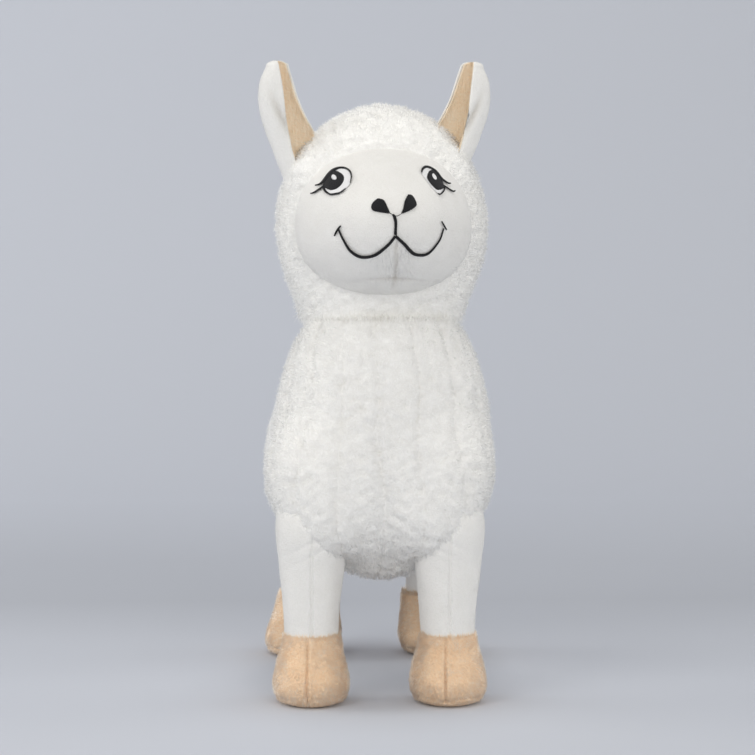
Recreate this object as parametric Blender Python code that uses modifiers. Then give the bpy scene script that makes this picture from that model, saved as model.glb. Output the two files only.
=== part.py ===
"""Standing plush alpaca, 36 cm tall, sewn from curly fleece, smooth plush and tan plush.

Metres, +Z up. The animal faces -Y and its soles stand on Z = 0. The origin is on the floor, midway
between its sides and midway between its muzzle and the end of its tail.
"""

import math

import bmesh
import bpy
import numpy as np
from mathutils import Matrix, Vector
from mathutils.bvhtree import BVHTree

# Sewn seams and resting faces keep this much air, so that no two solids touch
SEAM_GAP = 0.0003

# Torso: barrel, chest, shoulders, brisket and haunches run into one another
BARREL_HALF_WIDTH = 0.0642
BARREL_HALF_LENGTH = 0.106
BARREL_HALF_HEIGHT = 0.056
BARREL_Y = 0.006
BARREL_FRONT_Y = BARREL_Y - BARREL_HALF_LENGTH
BARREL_END_Y = BARREL_Y + BARREL_HALF_LENGTH
BARREL_Z = 0.126
CHEST_HALF_WIDTH = 0.0612
CHEST_HALF_DEPTH = 0.056
CHEST_HALF_HEIGHT = 0.085
CHEST_X = 0.0026
CHEST_INSET = 0.052
CHEST_Y = BARREL_FRONT_Y + CHEST_INSET
CHEST_RISE = 0.024
CHEST_Z = BARREL_Z + CHEST_RISE
SHOULDER_IN_FROM_SIDE = 0.0322
SHOULDER_X = BARREL_HALF_WIDTH - SHOULDER_IN_FROM_SIDE
SHOULDER_HALF_WIDTH = 0.031
SHOULDER_HALF_LENGTH = 0.034
SHOULDER_HALF_HEIGHT = 0.033
SHOULDER_INSET = 0.030
SHOULDER_Y = BARREL_FRONT_Y + SHOULDER_INSET
SHOULDER_Z = BARREL_Z
BRISKET_IN_FROM_SIDE = 0.0382
BRISKET_X = BARREL_HALF_WIDTH - BRISKET_IN_FROM_SIDE
BRISKET_HALF_WIDTH = 0.021
BRISKET_HALF_LENGTH = 0.021
BRISKET_HALF_HEIGHT = 0.021
BRISKET_INSET = 0.017
BRISKET_Y = BARREL_FRONT_Y + BRISKET_INSET
BRISKET_DROP = 0.023
BRISKET_Z = BARREL_Z - BRISKET_DROP
HAUNCH_IN_FROM_SIDE = 0.0312
HAUNCH_X = BARREL_HALF_WIDTH - HAUNCH_IN_FROM_SIDE
HAUNCH_HALF_WIDTH = 0.030
HAUNCH_HALF_LENGTH = 0.040
HAUNCH_HALF_HEIGHT = 0.040
HAUNCH_INSET = 0.040
HAUNCH_Y = BARREL_END_Y - HAUNCH_INSET
HAUNCH_RISE = 0.002
HAUNCH_Z = BARREL_Z + HAUNCH_RISE
TORSO_BLEND = 0.016
NECK_SEAM_RISE = 0.088
NECK_SEAM_Z = BARREL_Z + NECK_SEAM_RISE

# Curls of the torso's fleece: upright rows with a parting between them
FLEECE_MERIDIANS = 60
FLEECE_RINGS = 22
PARTING_DEPTH = 0.0024
CURL_HEIGHT = 0.0010
CURL_SEED = 5

# Hood: the fleece of the neck, the cheeks and the crown, turned a little with the head
NECK_AXIS_FORWARD = 0.012
NECK_AXIS_Y = CHEST_Y - NECK_AXIS_FORWARD
HEAD_TURN = math.radians(7)
HOOD_HALF_WIDTH = 0.0590
HOOD_HALF_DEPTH = 0.041
HOOD_HALF_HEIGHT = 0.058
HOOD_X = 0.0052
HOOD_SETBACK = 0.010
HOOD_Y = CHEST_Y + HOOD_SETBACK
HOOD_RISE = 0.046
HOOD_Z = NECK_SEAM_Z + HOOD_RISE
CROWN_HALF_WIDTH = 0.053
CROWN_HALF_DEPTH = 0.041
CROWN_HALF_HEIGHT = 0.053
CROWN_SETBACK = 0.001
CROWN_Y = HOOD_Y + CROWN_SETBACK
CROWN_RISE = 0.0212
CROWN_Z = HOOD_Z + CROWN_RISE
NECK_HALF_WIDTH = 0.043
NECK_HALF_DEPTH = 0.038
NECK_HALF_HEIGHT = 0.045
NECK_RISE = 0.006
NECK_Z = NECK_SEAM_Z + NECK_RISE
HOOD_BLEND = 0.018
HOOD_CURL_HEIGHT = 0.0009

# Face: forehead, cheeks and snout in smooth plush, let into the hood
FACE_X = 0.0022
FOREHEAD_HALF_WIDTH = 0.0475
FOREHEAD_HALF_DEPTH = 0.045
FOREHEAD_HALF_HEIGHT = 0.038
FOREHEAD_FORWARD = 0.020
FOREHEAD_Y = HOOD_Y - FOREHEAD_FORWARD
FOREHEAD_RISE = 0.014
FOREHEAD_Z = HOOD_Z + FOREHEAD_RISE
CHEEK_HALF_WIDTH = 0.0475
CHEEK_HALF_DEPTH = 0.040
CHEEK_HALF_HEIGHT = 0.033
CHEEK_FORWARD = 0.028
CHEEK_Y = HOOD_Y - CHEEK_FORWARD
CHEEK_Z = HOOD_Z
SNOUT_HALF_WIDTH = 0.033
SNOUT_HALF_DEPTH = 0.038
SNOUT_HALF_HEIGHT = 0.027
SNOUT_FORWARD = 0.017
SNOUT_Y = CHEEK_Y - SNOUT_FORWARD
SNOUT_RISE = 0.008
SNOUT_Z = CHEEK_Z + SNOUT_RISE
FACE_BLEND = 0.014
FACE_BACK_FORWARD = 0.016
FACE_BACK_Y = HOOD_Y - FACE_BACK_FORWARD
GUSSET_FORWARD = 0.040
GUSSET_FRONT_Y = CHEEK_Y - GUSSET_FORWARD
GUSSET_DROP = 0.020
GUSSET_FRONT_Z = CHEEK_Z - GUSSET_DROP
GUSSET_SLOPE = math.radians(7)
CHIN_SEAM_DEPTH = 0.0010
CHIN_SEAM_TOP_Z = CHEEK_Z
CHIN_SEAM_SETBACK = 0.016
CHIN_SEAM_FRONT_Y = GUSSET_FRONT_Y + CHIN_SEAM_SETBACK

# Ears: a leaf folded lengthwise, with its opening forwards and towards the other ear
EAR_FORWARD = 0.004
EAR_Y = HOOD_Y - EAR_FORWARD
EAR_LEAN = 0.10
EAR_RISE = 0.024
EAR_BASE_Z = HOOD_Z + EAR_RISE
EAR_HEIGHT = 0.0732
EAR_FOLD_X = 0.0645
EAR_HALF_DEPTH = 0.0090
EAR_REAR_RIM = math.radians(166)
EAR_BACK_THICKNESS = 0.0015
EAR_LINING_THICKNESS = 0.0012
EAR_COLUMNS = 9

# Levels of an ear, in shares: of its height; of the furthest X of its fold, for the fold, the front
# rim and the rear rim; and of its greatest half depth
EAR_LEVELS = (
    (0.000, 0.722, 0.632, 0.376, 0.944),
    (0.162, 0.789, 0.677, 0.394, 0.978),
    (0.324, 0.869, 0.734, 0.439, 1.000),
    (0.473, 0.935, 0.776, 0.526, 0.978),
    (0.608, 0.982, 0.805, 0.617, 0.922),
    (0.743, 1.000, 0.824, 0.689, 0.811),
    (0.865, 0.979, 0.842, 0.734, 0.622),
    (0.953, 0.935, 0.857, 0.770, 0.422),
    (0.984, 0.920, 0.862, 0.788, 0.322),
    (1.000, 0.884, 0.866, 0.830, 0.178),
)

# Legs and hooves
LEG_SIDES = 20
SEAM_HALF_WIDTH = 0.0012
HOOF_HEIGHT = 0.038
SOLE_THICKNESS = 0.005
LEG_SEAM_DEPTH = 0.0010
HOOF_SEAM_DEPTH = 0.0018
HOOF_SEAM_TURN = math.radians(8)
FRONT_LEG_IN_FROM_SIDE = 0.0258
FRONT_LEG_X = BARREL_HALF_WIDTH - FRONT_LEG_IN_FROM_SIDE
FRONT_LEG_INSET = 0.022
FRONT_LEG_Y = BARREL_FRONT_Y + FRONT_LEG_INSET
REAR_LEG_IN_FROM_SIDE = 0.0264
REAR_LEG_X = BARREL_HALF_WIDTH - REAR_LEG_IN_FROM_SIDE
REAR_LEG_INSET = 0.026
REAR_LEG_Y = BARREL_END_Y - REAR_LEG_INSET
ANKLE_HALF_WIDTH = 0.0154
ANKLE_HALF_DEPTH = 0.0165
FRONT_KNEE_HALF_WIDTH = 0.0183
FRONT_KNEE_HALF_DEPTH = 0.0190
FRONT_TOP_HALF_WIDTH = 0.0200
FRONT_TOP_HALF_DEPTH = 0.0210
REAR_THIGH_HALF_WIDTH = 0.0215
REAR_THIGH_HALF_DEPTH = 0.0290
REAR_THIGH_FORWARD = 0.010
LEG_TOP_DROP = 0.024
LEG_TOP_Z = BARREL_Z - LEG_TOP_DROP
KNEE_DROP = 0.024
KNEE_Z = LEG_TOP_Z - KNEE_DROP
LEG_CAP_HEIGHT = 0.016
HOOF_HALF_WIDTH = 0.0210
HOOF_TOE = 0.0280
HOOF_HEEL = 0.0205
HOOF_WIDEST_Z = 0.011
SOLE_FLAT_SHARE = 0.78

# Tail: a short fleece teardrop
TAIL_HALF_WIDTH = 0.015
TAIL_HALF_DEPTH = 0.012
TAIL_HALF_HEIGHT = 0.027
TAIL_INSET = 0.0045
TAIL_Y = BARREL_END_Y - TAIL_INSET
TAIL_RISE = 0.016
TAIL_Z = BARREL_Z + TAIL_RISE
TAIL_LEAN = math.radians(14)

# Embroidery, laid out as seen from straight in front of the face
STITCH_THICKNESS = 0.00035
LINE_LIFT = 0.00045
EYE_X = 0.0258
EYES_ASIDE = -0.0013
EYE_RISE = 0.0175
EYE_Z = FOREHEAD_Z + EYE_RISE
EYE_HALF_WIDTH = 0.0066
EYE_HALF_HEIGHT = 0.0064
PUPIL_OUT = 0.0013
PUPIL_DOWN = 0.0001
PUPIL_HALF_WIDTH = 0.0041
PUPIL_HALF_HEIGHT = 0.0054
PUPIL_TILT = math.radians(25)
GLINT_OUT = 0.0012
GLINT_UP = 0.0012
GLINT_HALF_WIDTH = 0.0012
GLINT_HALF_HEIGHT = 0.0016
LID_CLEARANCE = 0.0002
LID_RADIUS = 0.0006
LID_START = 2
LID_END = 172
LOWER_LID_RADIUS = 0.0004
LOWER_LID_START = -46
LOWER_LID_END = -150
LASH_RADIUS = 0.0004
NOSTRIL_X = 0.0086
NOSTRIL_RISE = 0.0115
NOSTRIL_Z = SNOUT_Z + NOSTRIL_RISE
NOSTRIL_RADIUS = 0.0040
NOSTRIL_CLEARANCE = 0.0003
NOSTRIL_POINT_X = 0.0030
NOSTRIL_POINT_DROP = 0.0055
NOSTRIL_POINT_Z = NOSTRIL_Z - NOSTRIL_POINT_DROP
PHILTRUM_DROP = 0.0005
PHILTRUM_TOP_Z = NOSTRIL_POINT_Z - PHILTRUM_DROP
PHILTRUM_LENGTH = 0.0110
LIP_MEET_Z = PHILTRUM_TOP_Z - PHILTRUM_LENGTH
MOUTH_HALF_WIDTH = 0.0285
MOUTH_LOWEST_X = 0.0152
MOUTH_DROP = 0.0118
MOUTH_CORNER_RISE = 0.0038
MOUTH_RADIUS = 0.00065
MOUTH_TICK_RADIUS = 0.00045
MOUTH_TICK_HALF_LENGTH = 0.0028
MOUTH_TICK_ANGLE = math.radians(122)

# Lashes, each from its root to its tip, as distances outwards and downwards from the eye's middle
LASHES = (
    ("upper", (0.0078, 0.0013), (0.0112, 0.0022)),
    ("lower", (0.0074, 0.0036), (0.0128, 0.0070)),
)

WHITE_FLEECE = (0.86, 0.86, 0.84)
WHITE_PLUSH = (0.84, 0.83, 0.80)
TAN_PLUSH = (0.78, 0.58, 0.40)
BLACK_THREAD = (0.02, 0.02, 0.023)
WHITE_THREAD = (0.88, 0.88, 0.88)

SIDES = (("left", -1), ("right", 1))


def clear_scene():
    """Starts from an empty scene."""
    for obj in list(bpy.data.objects):
        bpy.data.objects.remove(obj)


def make_collection(name):
    """Links and returns a new collection."""
    collection = bpy.data.collections.new(name)
    bpy.context.scene.collection.children.link(collection)
    return collection


def make_material(name, colour, roughness):
    """A cloth or thread finish."""
    material = bpy.data.materials.new(name)
    material.use_nodes = True
    shader = material.node_tree.nodes["Principled BSDF"]
    shader.inputs["Base Color"].default_value = (*colour, 1.0)
    shader.inputs["Roughness"].default_value = roughness
    shader.inputs["Metallic"].default_value = 0.0
    return material


def add_object(name, bm, material=None, collection=None):
    """Turns a bmesh into a named, smooth-shaded object, in triangles so that cutters match it."""
    bmesh.ops.triangulate(bm, faces=bm.faces)
    bmesh.ops.recalc_face_normals(bm, faces=bm.faces)
    mesh = bpy.data.meshes.new(name)
    bm.to_mesh(mesh)
    bm.free()
    mesh.shade_smooth()
    mesh.set_sharp_from_angle(angle=math.radians(50))
    if material is not None:
        mesh.materials.append(material)
    obj = bpy.data.objects.new(name, mesh)
    (collection or plush).objects.link(obj)
    return obj


def apply_modifiers(obj):
    """Replaces the object's mesh with what its modifiers make of it."""
    graph = bpy.context.evaluated_depsgraph_get()
    mesh = bpy.data.meshes.new_from_object(obj.evaluated_get(graph))
    obj.modifiers.clear()
    obj.data = mesh


def grown_cutter(obj, gap):
    """A hidden copy of a solid, grown all round by the gap."""
    bm = bmesh.new()
    bm.from_mesh(obj.data)
    bm.normal_update()
    moves = [vert.normal * gap * vert.calc_shell_factor() for vert in bm.verts]
    for vert, move in zip(bm.verts, moves):
        vert.co += move
    cutter = add_object(obj.name + "_clearance", bm, collection=cutters)
    cutter.hide_render = True
    cutter.display_type = "WIRE"
    return cutter


def cut_clear(obj, cutter):
    """Cuts a piece back where a neighbour's grown copy reaches into it."""
    modifier = obj.modifiers.new("clear", "BOOLEAN")
    modifier.operation = "DIFFERENCE"
    modifier.solver = "EXACT"
    modifier.object = cutter
    apply_modifiers(obj)


def slice_flat(bm, point, normal):
    """Cuts a closed bmesh along a plane, drops what lies on the normal's side and closes the cut."""
    geometry = bm.verts[:] + bm.edges[:] + bm.faces[:]
    cut = bmesh.ops.bisect_plane(
        bm, geom=geometry, plane_co=point, plane_no=normal, clear_outer=True
    )
    rim = [item for item in cut["geom_cut"] if isinstance(item, bmesh.types.BMEdge)]
    bmesh.ops.contextual_create(bm, geom=rim)


def ellipsoid_distance(points, centre, radii):
    """Distance of points from an ellipsoid's skin, negative inside, exact near the skin."""
    scaled = (points - centre) / radii
    reach = np.linalg.norm(scaled, axis=-1)
    slope = np.maximum(np.linalg.norm(scaled / radii, axis=-1), 1e-9)
    return reach * (reach - 1.0) / slope


def blended_distance(points, lumps, blend):
    """Distance from several ellipsoids that run into one another over a rounded valley."""
    distance = ellipsoid_distance(points, *lumps[0])
    for centre, radii in lumps[1:]:
        other = ellipsoid_distance(points, centre, radii)
        overlap = np.clip(1.0 - np.abs(distance - other) / blend, 0.0, 1.0)
        distance = np.minimum(distance, other) - overlap**2 * blend / 4.0
    return distance


def push_to_skin(bm, lumps, blend):
    """Moves each point of a ball along its ray from the first lump's centre to the blended skin."""
    heart = lumps[0][0]
    rays = np.array([vert.co for vert in bm.verts])
    rays /= np.linalg.norm(rays, axis=1, keepdims=True)
    near = np.zeros(len(rays))
    far = np.full(len(rays), 4.0 * max(radii.max() for _, radii in lumps))
    for _ in range(30):
        middle = (near + far) / 2.0
        outside = blended_distance(heart + rays * middle[:, None], lumps, blend) > 0.0
        near, far = np.where(outside, near, middle), np.where(outside, middle, far)
    for vert, ray, reach in zip(bm.verts, rays, near):
        vert.co = Vector(heart + ray * reach)


def lump(x, y, z, half_x, half_y, half_z):
    """One ellipsoid of a blended form, as its centre and its three radii."""
    return np.array((x, y, z)), np.array((half_x, half_y, half_z))


def raise_curls(bm, height, seed):
    """Lifts and lowers each point of a fleece by a random share of the curls' height."""
    bm.normal_update()
    lifts = np.random.default_rng(seed).uniform(-1.0, 1.0, len(bm.verts)) * height
    for vert, lift in zip(bm.verts, lifts):
        vert.co += vert.normal * lift


def make_torso():
    """Barrel, chest, shoulders, brisket and haunches in one fleece, under a flat neck seam."""
    shoulder = (SHOULDER_HALF_WIDTH, SHOULDER_HALF_LENGTH, SHOULDER_HALF_HEIGHT)
    brisket = (BRISKET_HALF_WIDTH, BRISKET_HALF_LENGTH, BRISKET_HALF_HEIGHT)
    haunch = (HAUNCH_HALF_WIDTH, HAUNCH_HALF_LENGTH, HAUNCH_HALF_HEIGHT)
    lumps = [
        lump(0, BARREL_Y, BARREL_Z, BARREL_HALF_WIDTH, BARREL_HALF_LENGTH, BARREL_HALF_HEIGHT),
        lump(CHEST_X, CHEST_Y, CHEST_Z, CHEST_HALF_WIDTH, CHEST_HALF_DEPTH, CHEST_HALF_HEIGHT),
    ]
    for _, side in SIDES:
        lumps.append(lump(side * SHOULDER_X, SHOULDER_Y, SHOULDER_Z, *shoulder))
        lumps.append(lump(side * BRISKET_X, BRISKET_Y, BRISKET_Z, *brisket))
        lumps.append(lump(side * HAUNCH_X, HAUNCH_Y, HAUNCH_Z, *haunch))
    bm = bmesh.new()
    bmesh.ops.create_uvsphere(bm, u_segments=FLEECE_MERIDIANS, v_segments=FLEECE_RINGS, radius=1.0)
    step = 2.0 * math.pi / FLEECE_MERIDIANS
    partings = []
    for vert in bm.verts:
        meridian = round((math.atan2(vert.co.y, vert.co.x) + math.pi / 2.0) / step)
        partings.append((1 - meridian % 2) * math.hypot(vert.co.x, vert.co.y))
        vert.co.x *= BARREL_HALF_WIDTH
        vert.co.y *= BARREL_HALF_LENGTH
        vert.co.z *= CHEST_HALF_HEIGHT
    push_to_skin(bm, lumps, TORSO_BLEND)
    bm.normal_update()
    sinks = [vert.normal * PARTING_DEPTH * share for vert, share in zip(bm.verts, partings)]
    for vert, sink in zip(bm.verts, sinks):
        vert.co -= sink
    raise_curls(bm, CURL_HEIGHT, CURL_SEED)
    slice_flat(bm, (0, 0, NECK_SEAM_Z), (0, 0, 1))
    return add_object("torso_fleece", bm, fleece)


def sink_chin_seam(bm):
    """Sinks a narrow seam down the middle of the chin, from under the lips to the gusset."""
    seam = []
    for x in (-SEAM_HALF_WIDTH, SEAM_HALF_WIDTH, 0.0):
        chin = []
        for face in bm.faces:
            middle = face.calc_center_median()
            if abs(middle.x) < 4.0 * SEAM_HALF_WIDTH and middle.y < CHIN_SEAM_FRONT_Y:
                if middle.z < CHIN_SEAM_TOP_Z:
                    chin.append(face)
        edges = {edge for face in chin for edge in face.edges}
        verts = {vert for face in chin for vert in face.verts}
        geometry = chin + list(edges) + list(verts)
        bmesh.ops.bisect_plane(bm, geom=geometry, plane_co=(x, 0, 0), plane_no=(1, 0, 0))
        seam = [vert for vert in bm.verts if abs(vert.co.x) < 0.00001]
    bm.normal_update()
    for vert in seam:
        if vert.co.z < CHIN_SEAM_TOP_Z and vert.co.y < CHIN_SEAM_FRONT_Y:
            vert.co -= vert.normal * CHIN_SEAM_DEPTH


def make_face():
    """Forehead, cheeks and snout, flat behind, and the gusset that closes them under the chin."""
    forehead = (FOREHEAD_HALF_WIDTH, FOREHEAD_HALF_DEPTH, FOREHEAD_HALF_HEIGHT)
    lumps = [
        lump(FACE_X, CHEEK_Y, CHEEK_Z, CHEEK_HALF_WIDTH, CHEEK_HALF_DEPTH, CHEEK_HALF_HEIGHT),
        lump(FACE_X, FOREHEAD_Y, FOREHEAD_Z, *forehead),
        lump(0, SNOUT_Y, SNOUT_Z, SNOUT_HALF_WIDTH, SNOUT_HALF_DEPTH, SNOUT_HALF_HEIGHT),
    ]
    downwards = Vector((0, -math.sin(GUSSET_SLOPE), -math.cos(GUSSET_SLOPE)))
    chin_line = Vector((0, GUSSET_FRONT_Y, GUSSET_FRONT_Z))
    pieces = []
    for name, outwards in (("face_panel", downwards), ("chin_gusset", -downwards)):
        bm = bmesh.new()
        bmesh.ops.create_icosphere(bm, subdivisions=4, radius=1.0)
        push_to_skin(bm, lumps, FACE_BLEND)
        if name == "face_panel":
            sink_chin_seam(bm)
        slice_flat(bm, (0, FACE_BACK_Y, 0), (0, 1, 0))
        slice_flat(bm, chin_line - outwards * SEAM_GAP / 2.0, outwards)
        pieces.append(add_object(name, bm, smooth_plush))
    return pieces


def make_hood():
    """Neck, cheeks and crown in one fleece, standing on the torso's neck seam."""
    lumps = [
        lump(HOOD_X, HOOD_Y, HOOD_Z, HOOD_HALF_WIDTH, HOOD_HALF_DEPTH, HOOD_HALF_HEIGHT),
        lump(HOOD_X, CROWN_Y, CROWN_Z, CROWN_HALF_WIDTH, CROWN_HALF_DEPTH, CROWN_HALF_HEIGHT),
        lump(HOOD_X, HOOD_Y, NECK_Z, NECK_HALF_WIDTH, NECK_HALF_DEPTH, NECK_HALF_HEIGHT),
    ]
    bm = bmesh.new()
    bmesh.ops.create_icosphere(bm, subdivisions=4, radius=1.0)
    push_to_skin(bm, lumps, HOOD_BLEND)
    raise_curls(bm, HOOD_CURL_HEIGHT, CURL_SEED)
    slice_flat(bm, (0, 0, NECK_SEAM_Z + SEAM_GAP), (0, 0, -1))
    return add_object("hood_fleece", bm, fleece)


def ear_level(side, level):
    """The points of one level of the folded leaf, from the front rim round the fold to the rear."""
    height = EAR_HEIGHT * level[0]
    fold_x, front_rim_x, rear_rim_x = (EAR_FOLD_X * share for share in level[1:4])
    half_depth = EAR_HALF_DEPTH * level[4]
    half_width = (fold_x - rear_rim_x) / 2.0
    middle_x = rear_rim_x + half_width
    front = -math.acos((front_rim_x - middle_x) / half_width)
    points = []
    for column in range(EAR_COLUMNS):
        angle = front + (EAR_REAR_RIM - front) * column / (EAR_COLUMNS - 1)
        x = side * (middle_x + half_width * math.cos(angle))
        y = EAR_Y - EAR_LEAN * height + half_depth * math.sin(angle)
        points.append((x, y, EAR_BASE_Z + height))
    return points


def make_ear_layer(name, side, outward, thickness, material):
    """One cloth layer of an ear, laid outside the folded leaf (+1) or inside it (-1)."""
    bm = bmesh.new()
    levels = EAR_LEVELS if outward > 0 else EAR_LEVELS[:-1]
    grid = [[bm.verts.new(point) for point in ear_level(side, level)] for level in levels]
    for lower, upper in zip(grid, grid[1:]):
        for left in range(EAR_COLUMNS - 1):
            corners = [lower[left], lower[left + 1], upper[left + 1], upper[left]]
            bm.faces.new(corners if side > 0 else corners[::-1])
    bm.normal_update()
    for vert in bm.verts:
        vert.co += vert.normal * outward * SEAM_GAP
    mesh = bpy.data.meshes.new(name)
    bm.to_mesh(mesh)
    bm.free()
    mesh.materials.append(material)
    obj = bpy.data.objects.new(name, mesh)
    plush.objects.link(obj)
    wall = obj.modifiers.new("wall", "SOLIDIFY")
    wall.thickness = thickness
    wall.offset = outward
    apply_modifiers(obj)
    obj.data.shade_smooth()
    return obj


def section(centre_x, centre_y, z, half_width, front, back, seam, turn=0.0):
    """One level of a leg or hoof: half an ellipse in front, half behind, with a seam in front."""
    beside = math.degrees(SEAM_HALF_WIDTH / half_width)
    even = np.linspace(beside, 360.0 - beside, LEG_SIDES)
    points = []
    for angle in np.radians(np.concatenate([[0.0], even]) - 90.0) - turn:
        reach = front if math.sin(angle) < 0 else back
        if not points:
            reach -= seam
        x = centre_x + half_width * math.cos(angle)
        points.append(Vector((x, centre_y + reach * math.sin(angle), z)))
    return points


def loft(name, sections, material):
    """A closed solid through level sections that have the same number of points."""
    bm = bmesh.new()
    rings = [[bm.verts.new(point) for point in points] for points in sections]
    for lower, upper in zip(rings, rings[1:]):
        for index, corner in enumerate(lower):
            after = (index + 1) % len(lower)
            bm.faces.new((corner, lower[after], upper[after], upper[index]))
    bm.faces.new(rings[0][::-1])
    bm.faces.new(rings[-1])
    return add_object(name, bm, material)


def make_leg(name, x, y, knee, top, forward):
    """A stuffed leg, from the hoof's top edge up into the torso, under a small dome."""
    levels = [
        (HOOF_HEIGHT + SEAM_GAP, ANKLE_HALF_WIDTH, ANKLE_HALF_DEPTH, 0.0),
        (KNEE_Z, *knee, forward * 0.4),
        (LEG_TOP_Z, *top, forward),
        (LEG_TOP_Z + LEG_CAP_HEIGHT * 0.6, top[0] * 0.7, top[1] * 0.7, forward),
        (LEG_TOP_Z + LEG_CAP_HEIGHT, top[0] * 0.3, top[1] * 0.3, forward),
    ]
    sections = []
    for z, half_width, half_depth, shift in levels:
        sections.append(section(x, y - shift, z, half_width, half_depth, half_depth, LEG_SEAM_DEPTH))
    return loft(name, sections, smooth_plush)


def make_hoof(name, x, y):
    """The hoof's upper, from the ankle seam down to the edge of the sole."""
    low = SOLE_THICKNESS + SEAM_GAP
    levels = [
        (low, 0.96, 0.97, 1.0),
        (HOOF_WIDEST_Z, 1.0, 1.0, 1.0),
        (HOOF_WIDEST_Z + (HOOF_HEIGHT - HOOF_WIDEST_Z) * 0.35, 0.72, 0.66, 0.8),
        (HOOF_WIDEST_Z + (HOOF_HEIGHT - HOOF_WIDEST_Z) * 0.70, 0.28, 0.22, 0.5),
        (HOOF_HEIGHT, 0.0, 0.0, 0.3),
    ]
    sections = []
    for z, flare, toe, seam in levels:
        half_width = ANKLE_HALF_WIDTH + (HOOF_HALF_WIDTH - ANKLE_HALF_WIDTH) * flare
        front = ANKLE_HALF_DEPTH + (HOOF_TOE - ANKLE_HALF_DEPTH) * toe
        back = ANKLE_HALF_DEPTH + (HOOF_HEEL - ANKLE_HALF_DEPTH) * flare
        depth = HOOF_SEAM_DEPTH * seam
        sections.append(section(x, y, z, half_width, front, back, depth, HOOF_SEAM_TURN))
    return loft(name, sections, tan_plush)


def make_sole(name, x, y):
    """The padded sole, flat where it stands and rounded up to the hoof's edge."""
    sections = []
    for height, share in ((0.0, SOLE_FLAT_SHARE), (0.35, 0.93), (1.0, 0.97)):
        z = SOLE_THICKNESS * height
        half_width = HOOF_HALF_WIDTH * share
        sections.append(section(x, y, z, half_width, HOOF_TOE * share, HOOF_HEEL * share, 0.0))
    return loft(name, sections, tan_plush)


def make_tail():
    """A teardrop of fleece that hangs against the rump."""
    bm = bmesh.new()
    bmesh.ops.create_uvsphere(bm, u_segments=14, v_segments=10, radius=1.0)
    for vert in bm.verts:
        taper = 1.0 - 0.25 * vert.co.z
        vert.co.x *= TAIL_HALF_WIDTH * taper
        vert.co.y *= TAIL_HALF_DEPTH * taper
        vert.co.z *= TAIL_HALF_HEIGHT
    lean = Matrix.Rotation(TAIL_LEAN, 4, "X")
    place = Matrix.Translation((0, TAIL_Y, TAIL_Z))
    bmesh.ops.transform(bm, matrix=place @ lean, verts=bm.verts)
    return add_object("tail_fleece", bm, fleece)


def drape(x, z, lift):
    """The face's point straight behind (x, z), or the nearest one, lifted off, and the normal there."""
    start = Vector((x, SNOUT_Y - 2.0 * SNOUT_HALF_DEPTH, z))
    place, normal, _, _ = face_surface.ray_cast(start, Vector((0, 1, 0)))
    if place is None:
        place, normal, _, _ = face_surface.find_nearest(Vector((x, SNOUT_Y, z)))
    return place + normal * lift, normal


def make_patch(name, outline, lift, material):
    """A satin-stitched patch: the outline drawn in towards its middle, laid on the face."""
    middle = np.mean(outline, axis=0)
    bm = bmesh.new()
    rings = []
    for share in (1, 0.5):
        ring = []
        for x, z in middle + (outline - middle) * share:
            ring.append(bm.verts.new(drape(x, z, lift)[0]))
        rings.append(ring)
    hub = bm.verts.new(drape(*middle, lift)[0])
    count = len(outline)
    for index in range(count):
        after = (index + 1) % count
        bm.faces.new((rings[0][index], rings[0][after], rings[1][after], rings[1][index]))
        bm.faces.new((rings[1][index], rings[1][after], hub))
    bmesh.ops.recalc_face_normals(bm, faces=bm.faces)
    bm.faces.ensure_lookup_table()
    if bm.faces[0].normal.y > 0:
        bmesh.ops.reverse_faces(bm, faces=bm.faces)
    mesh = bpy.data.meshes.new(name)
    bm.to_mesh(mesh)
    bm.free()
    mesh.materials.append(material)
    obj = bpy.data.objects.new(name, mesh)
    plush.objects.link(obj)
    wall = obj.modifiers.new("thread", "SOLIDIFY")
    wall.thickness = STITCH_THICKNESS
    wall.offset = 1.0
    apply_modifiers(obj)
    return obj


def make_line(name, route, radius, taper, from_middle=False):
    """A stitched line: a round cord along points on the face, thinner at its end or at both ends."""
    curve = bpy.data.curves.new(name, "CURVE")
    curve.dimensions = "3D"
    curve.bevel_depth = radius
    curve.bevel_resolution = 1
    curve.use_fill_caps = True
    shares = np.linspace(-1.0 if from_middle else 0.0, 1.0, len(route))
    spline = curve.splines.new("POLY")
    spline.points.add(len(route) - 1)
    for point, (x, z), share in zip(spline.points, route, shares):
        point.co = (*drape(x, z, radius + LINE_LIFT)[0], 1.0)
        point.radius = 1.0 - taper * abs(share)
    curve.materials.append(thread_black)
    obj = bpy.data.objects.new(name, curve)
    plush.objects.link(obj)
    return obj


def ellipse(centre_x, centre_z, half_width, half_height, count, tilt=0.0):
    """Points round an ellipse seen from in front of the face, its top tilted towards the middle."""
    angles = np.arange(count) * 2.0 * math.pi / count
    across, up = half_width * np.cos(angles), half_height * np.sin(angles)
    xs = centre_x + across * math.cos(tilt) - up * math.sin(tilt)
    return np.stack([xs, centre_z + up * math.cos(tilt) + across * math.sin(tilt)], axis=1)


def arc(centre_x, centre_z, half_width, half_height, start, end, count):
    """Points along part of an ellipse, from one angle to another in degrees."""
    angles = np.radians(np.linspace(start, end, count))
    xs = centre_x + half_width * np.cos(angles)
    return np.stack([xs, centre_z + half_height * np.sin(angles)], axis=1)


def mirrored(points, side):
    """Points drawn for the right side, mirrored for the left one."""
    return np.asarray(points) * np.array((side, 1.0))


def on_eye(points, side):
    """Points drawn for the right eye, placed on either: the pair sits a little to the left."""
    return mirrored(points, side) + np.array((EYES_ASIDE, 0.0))


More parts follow.
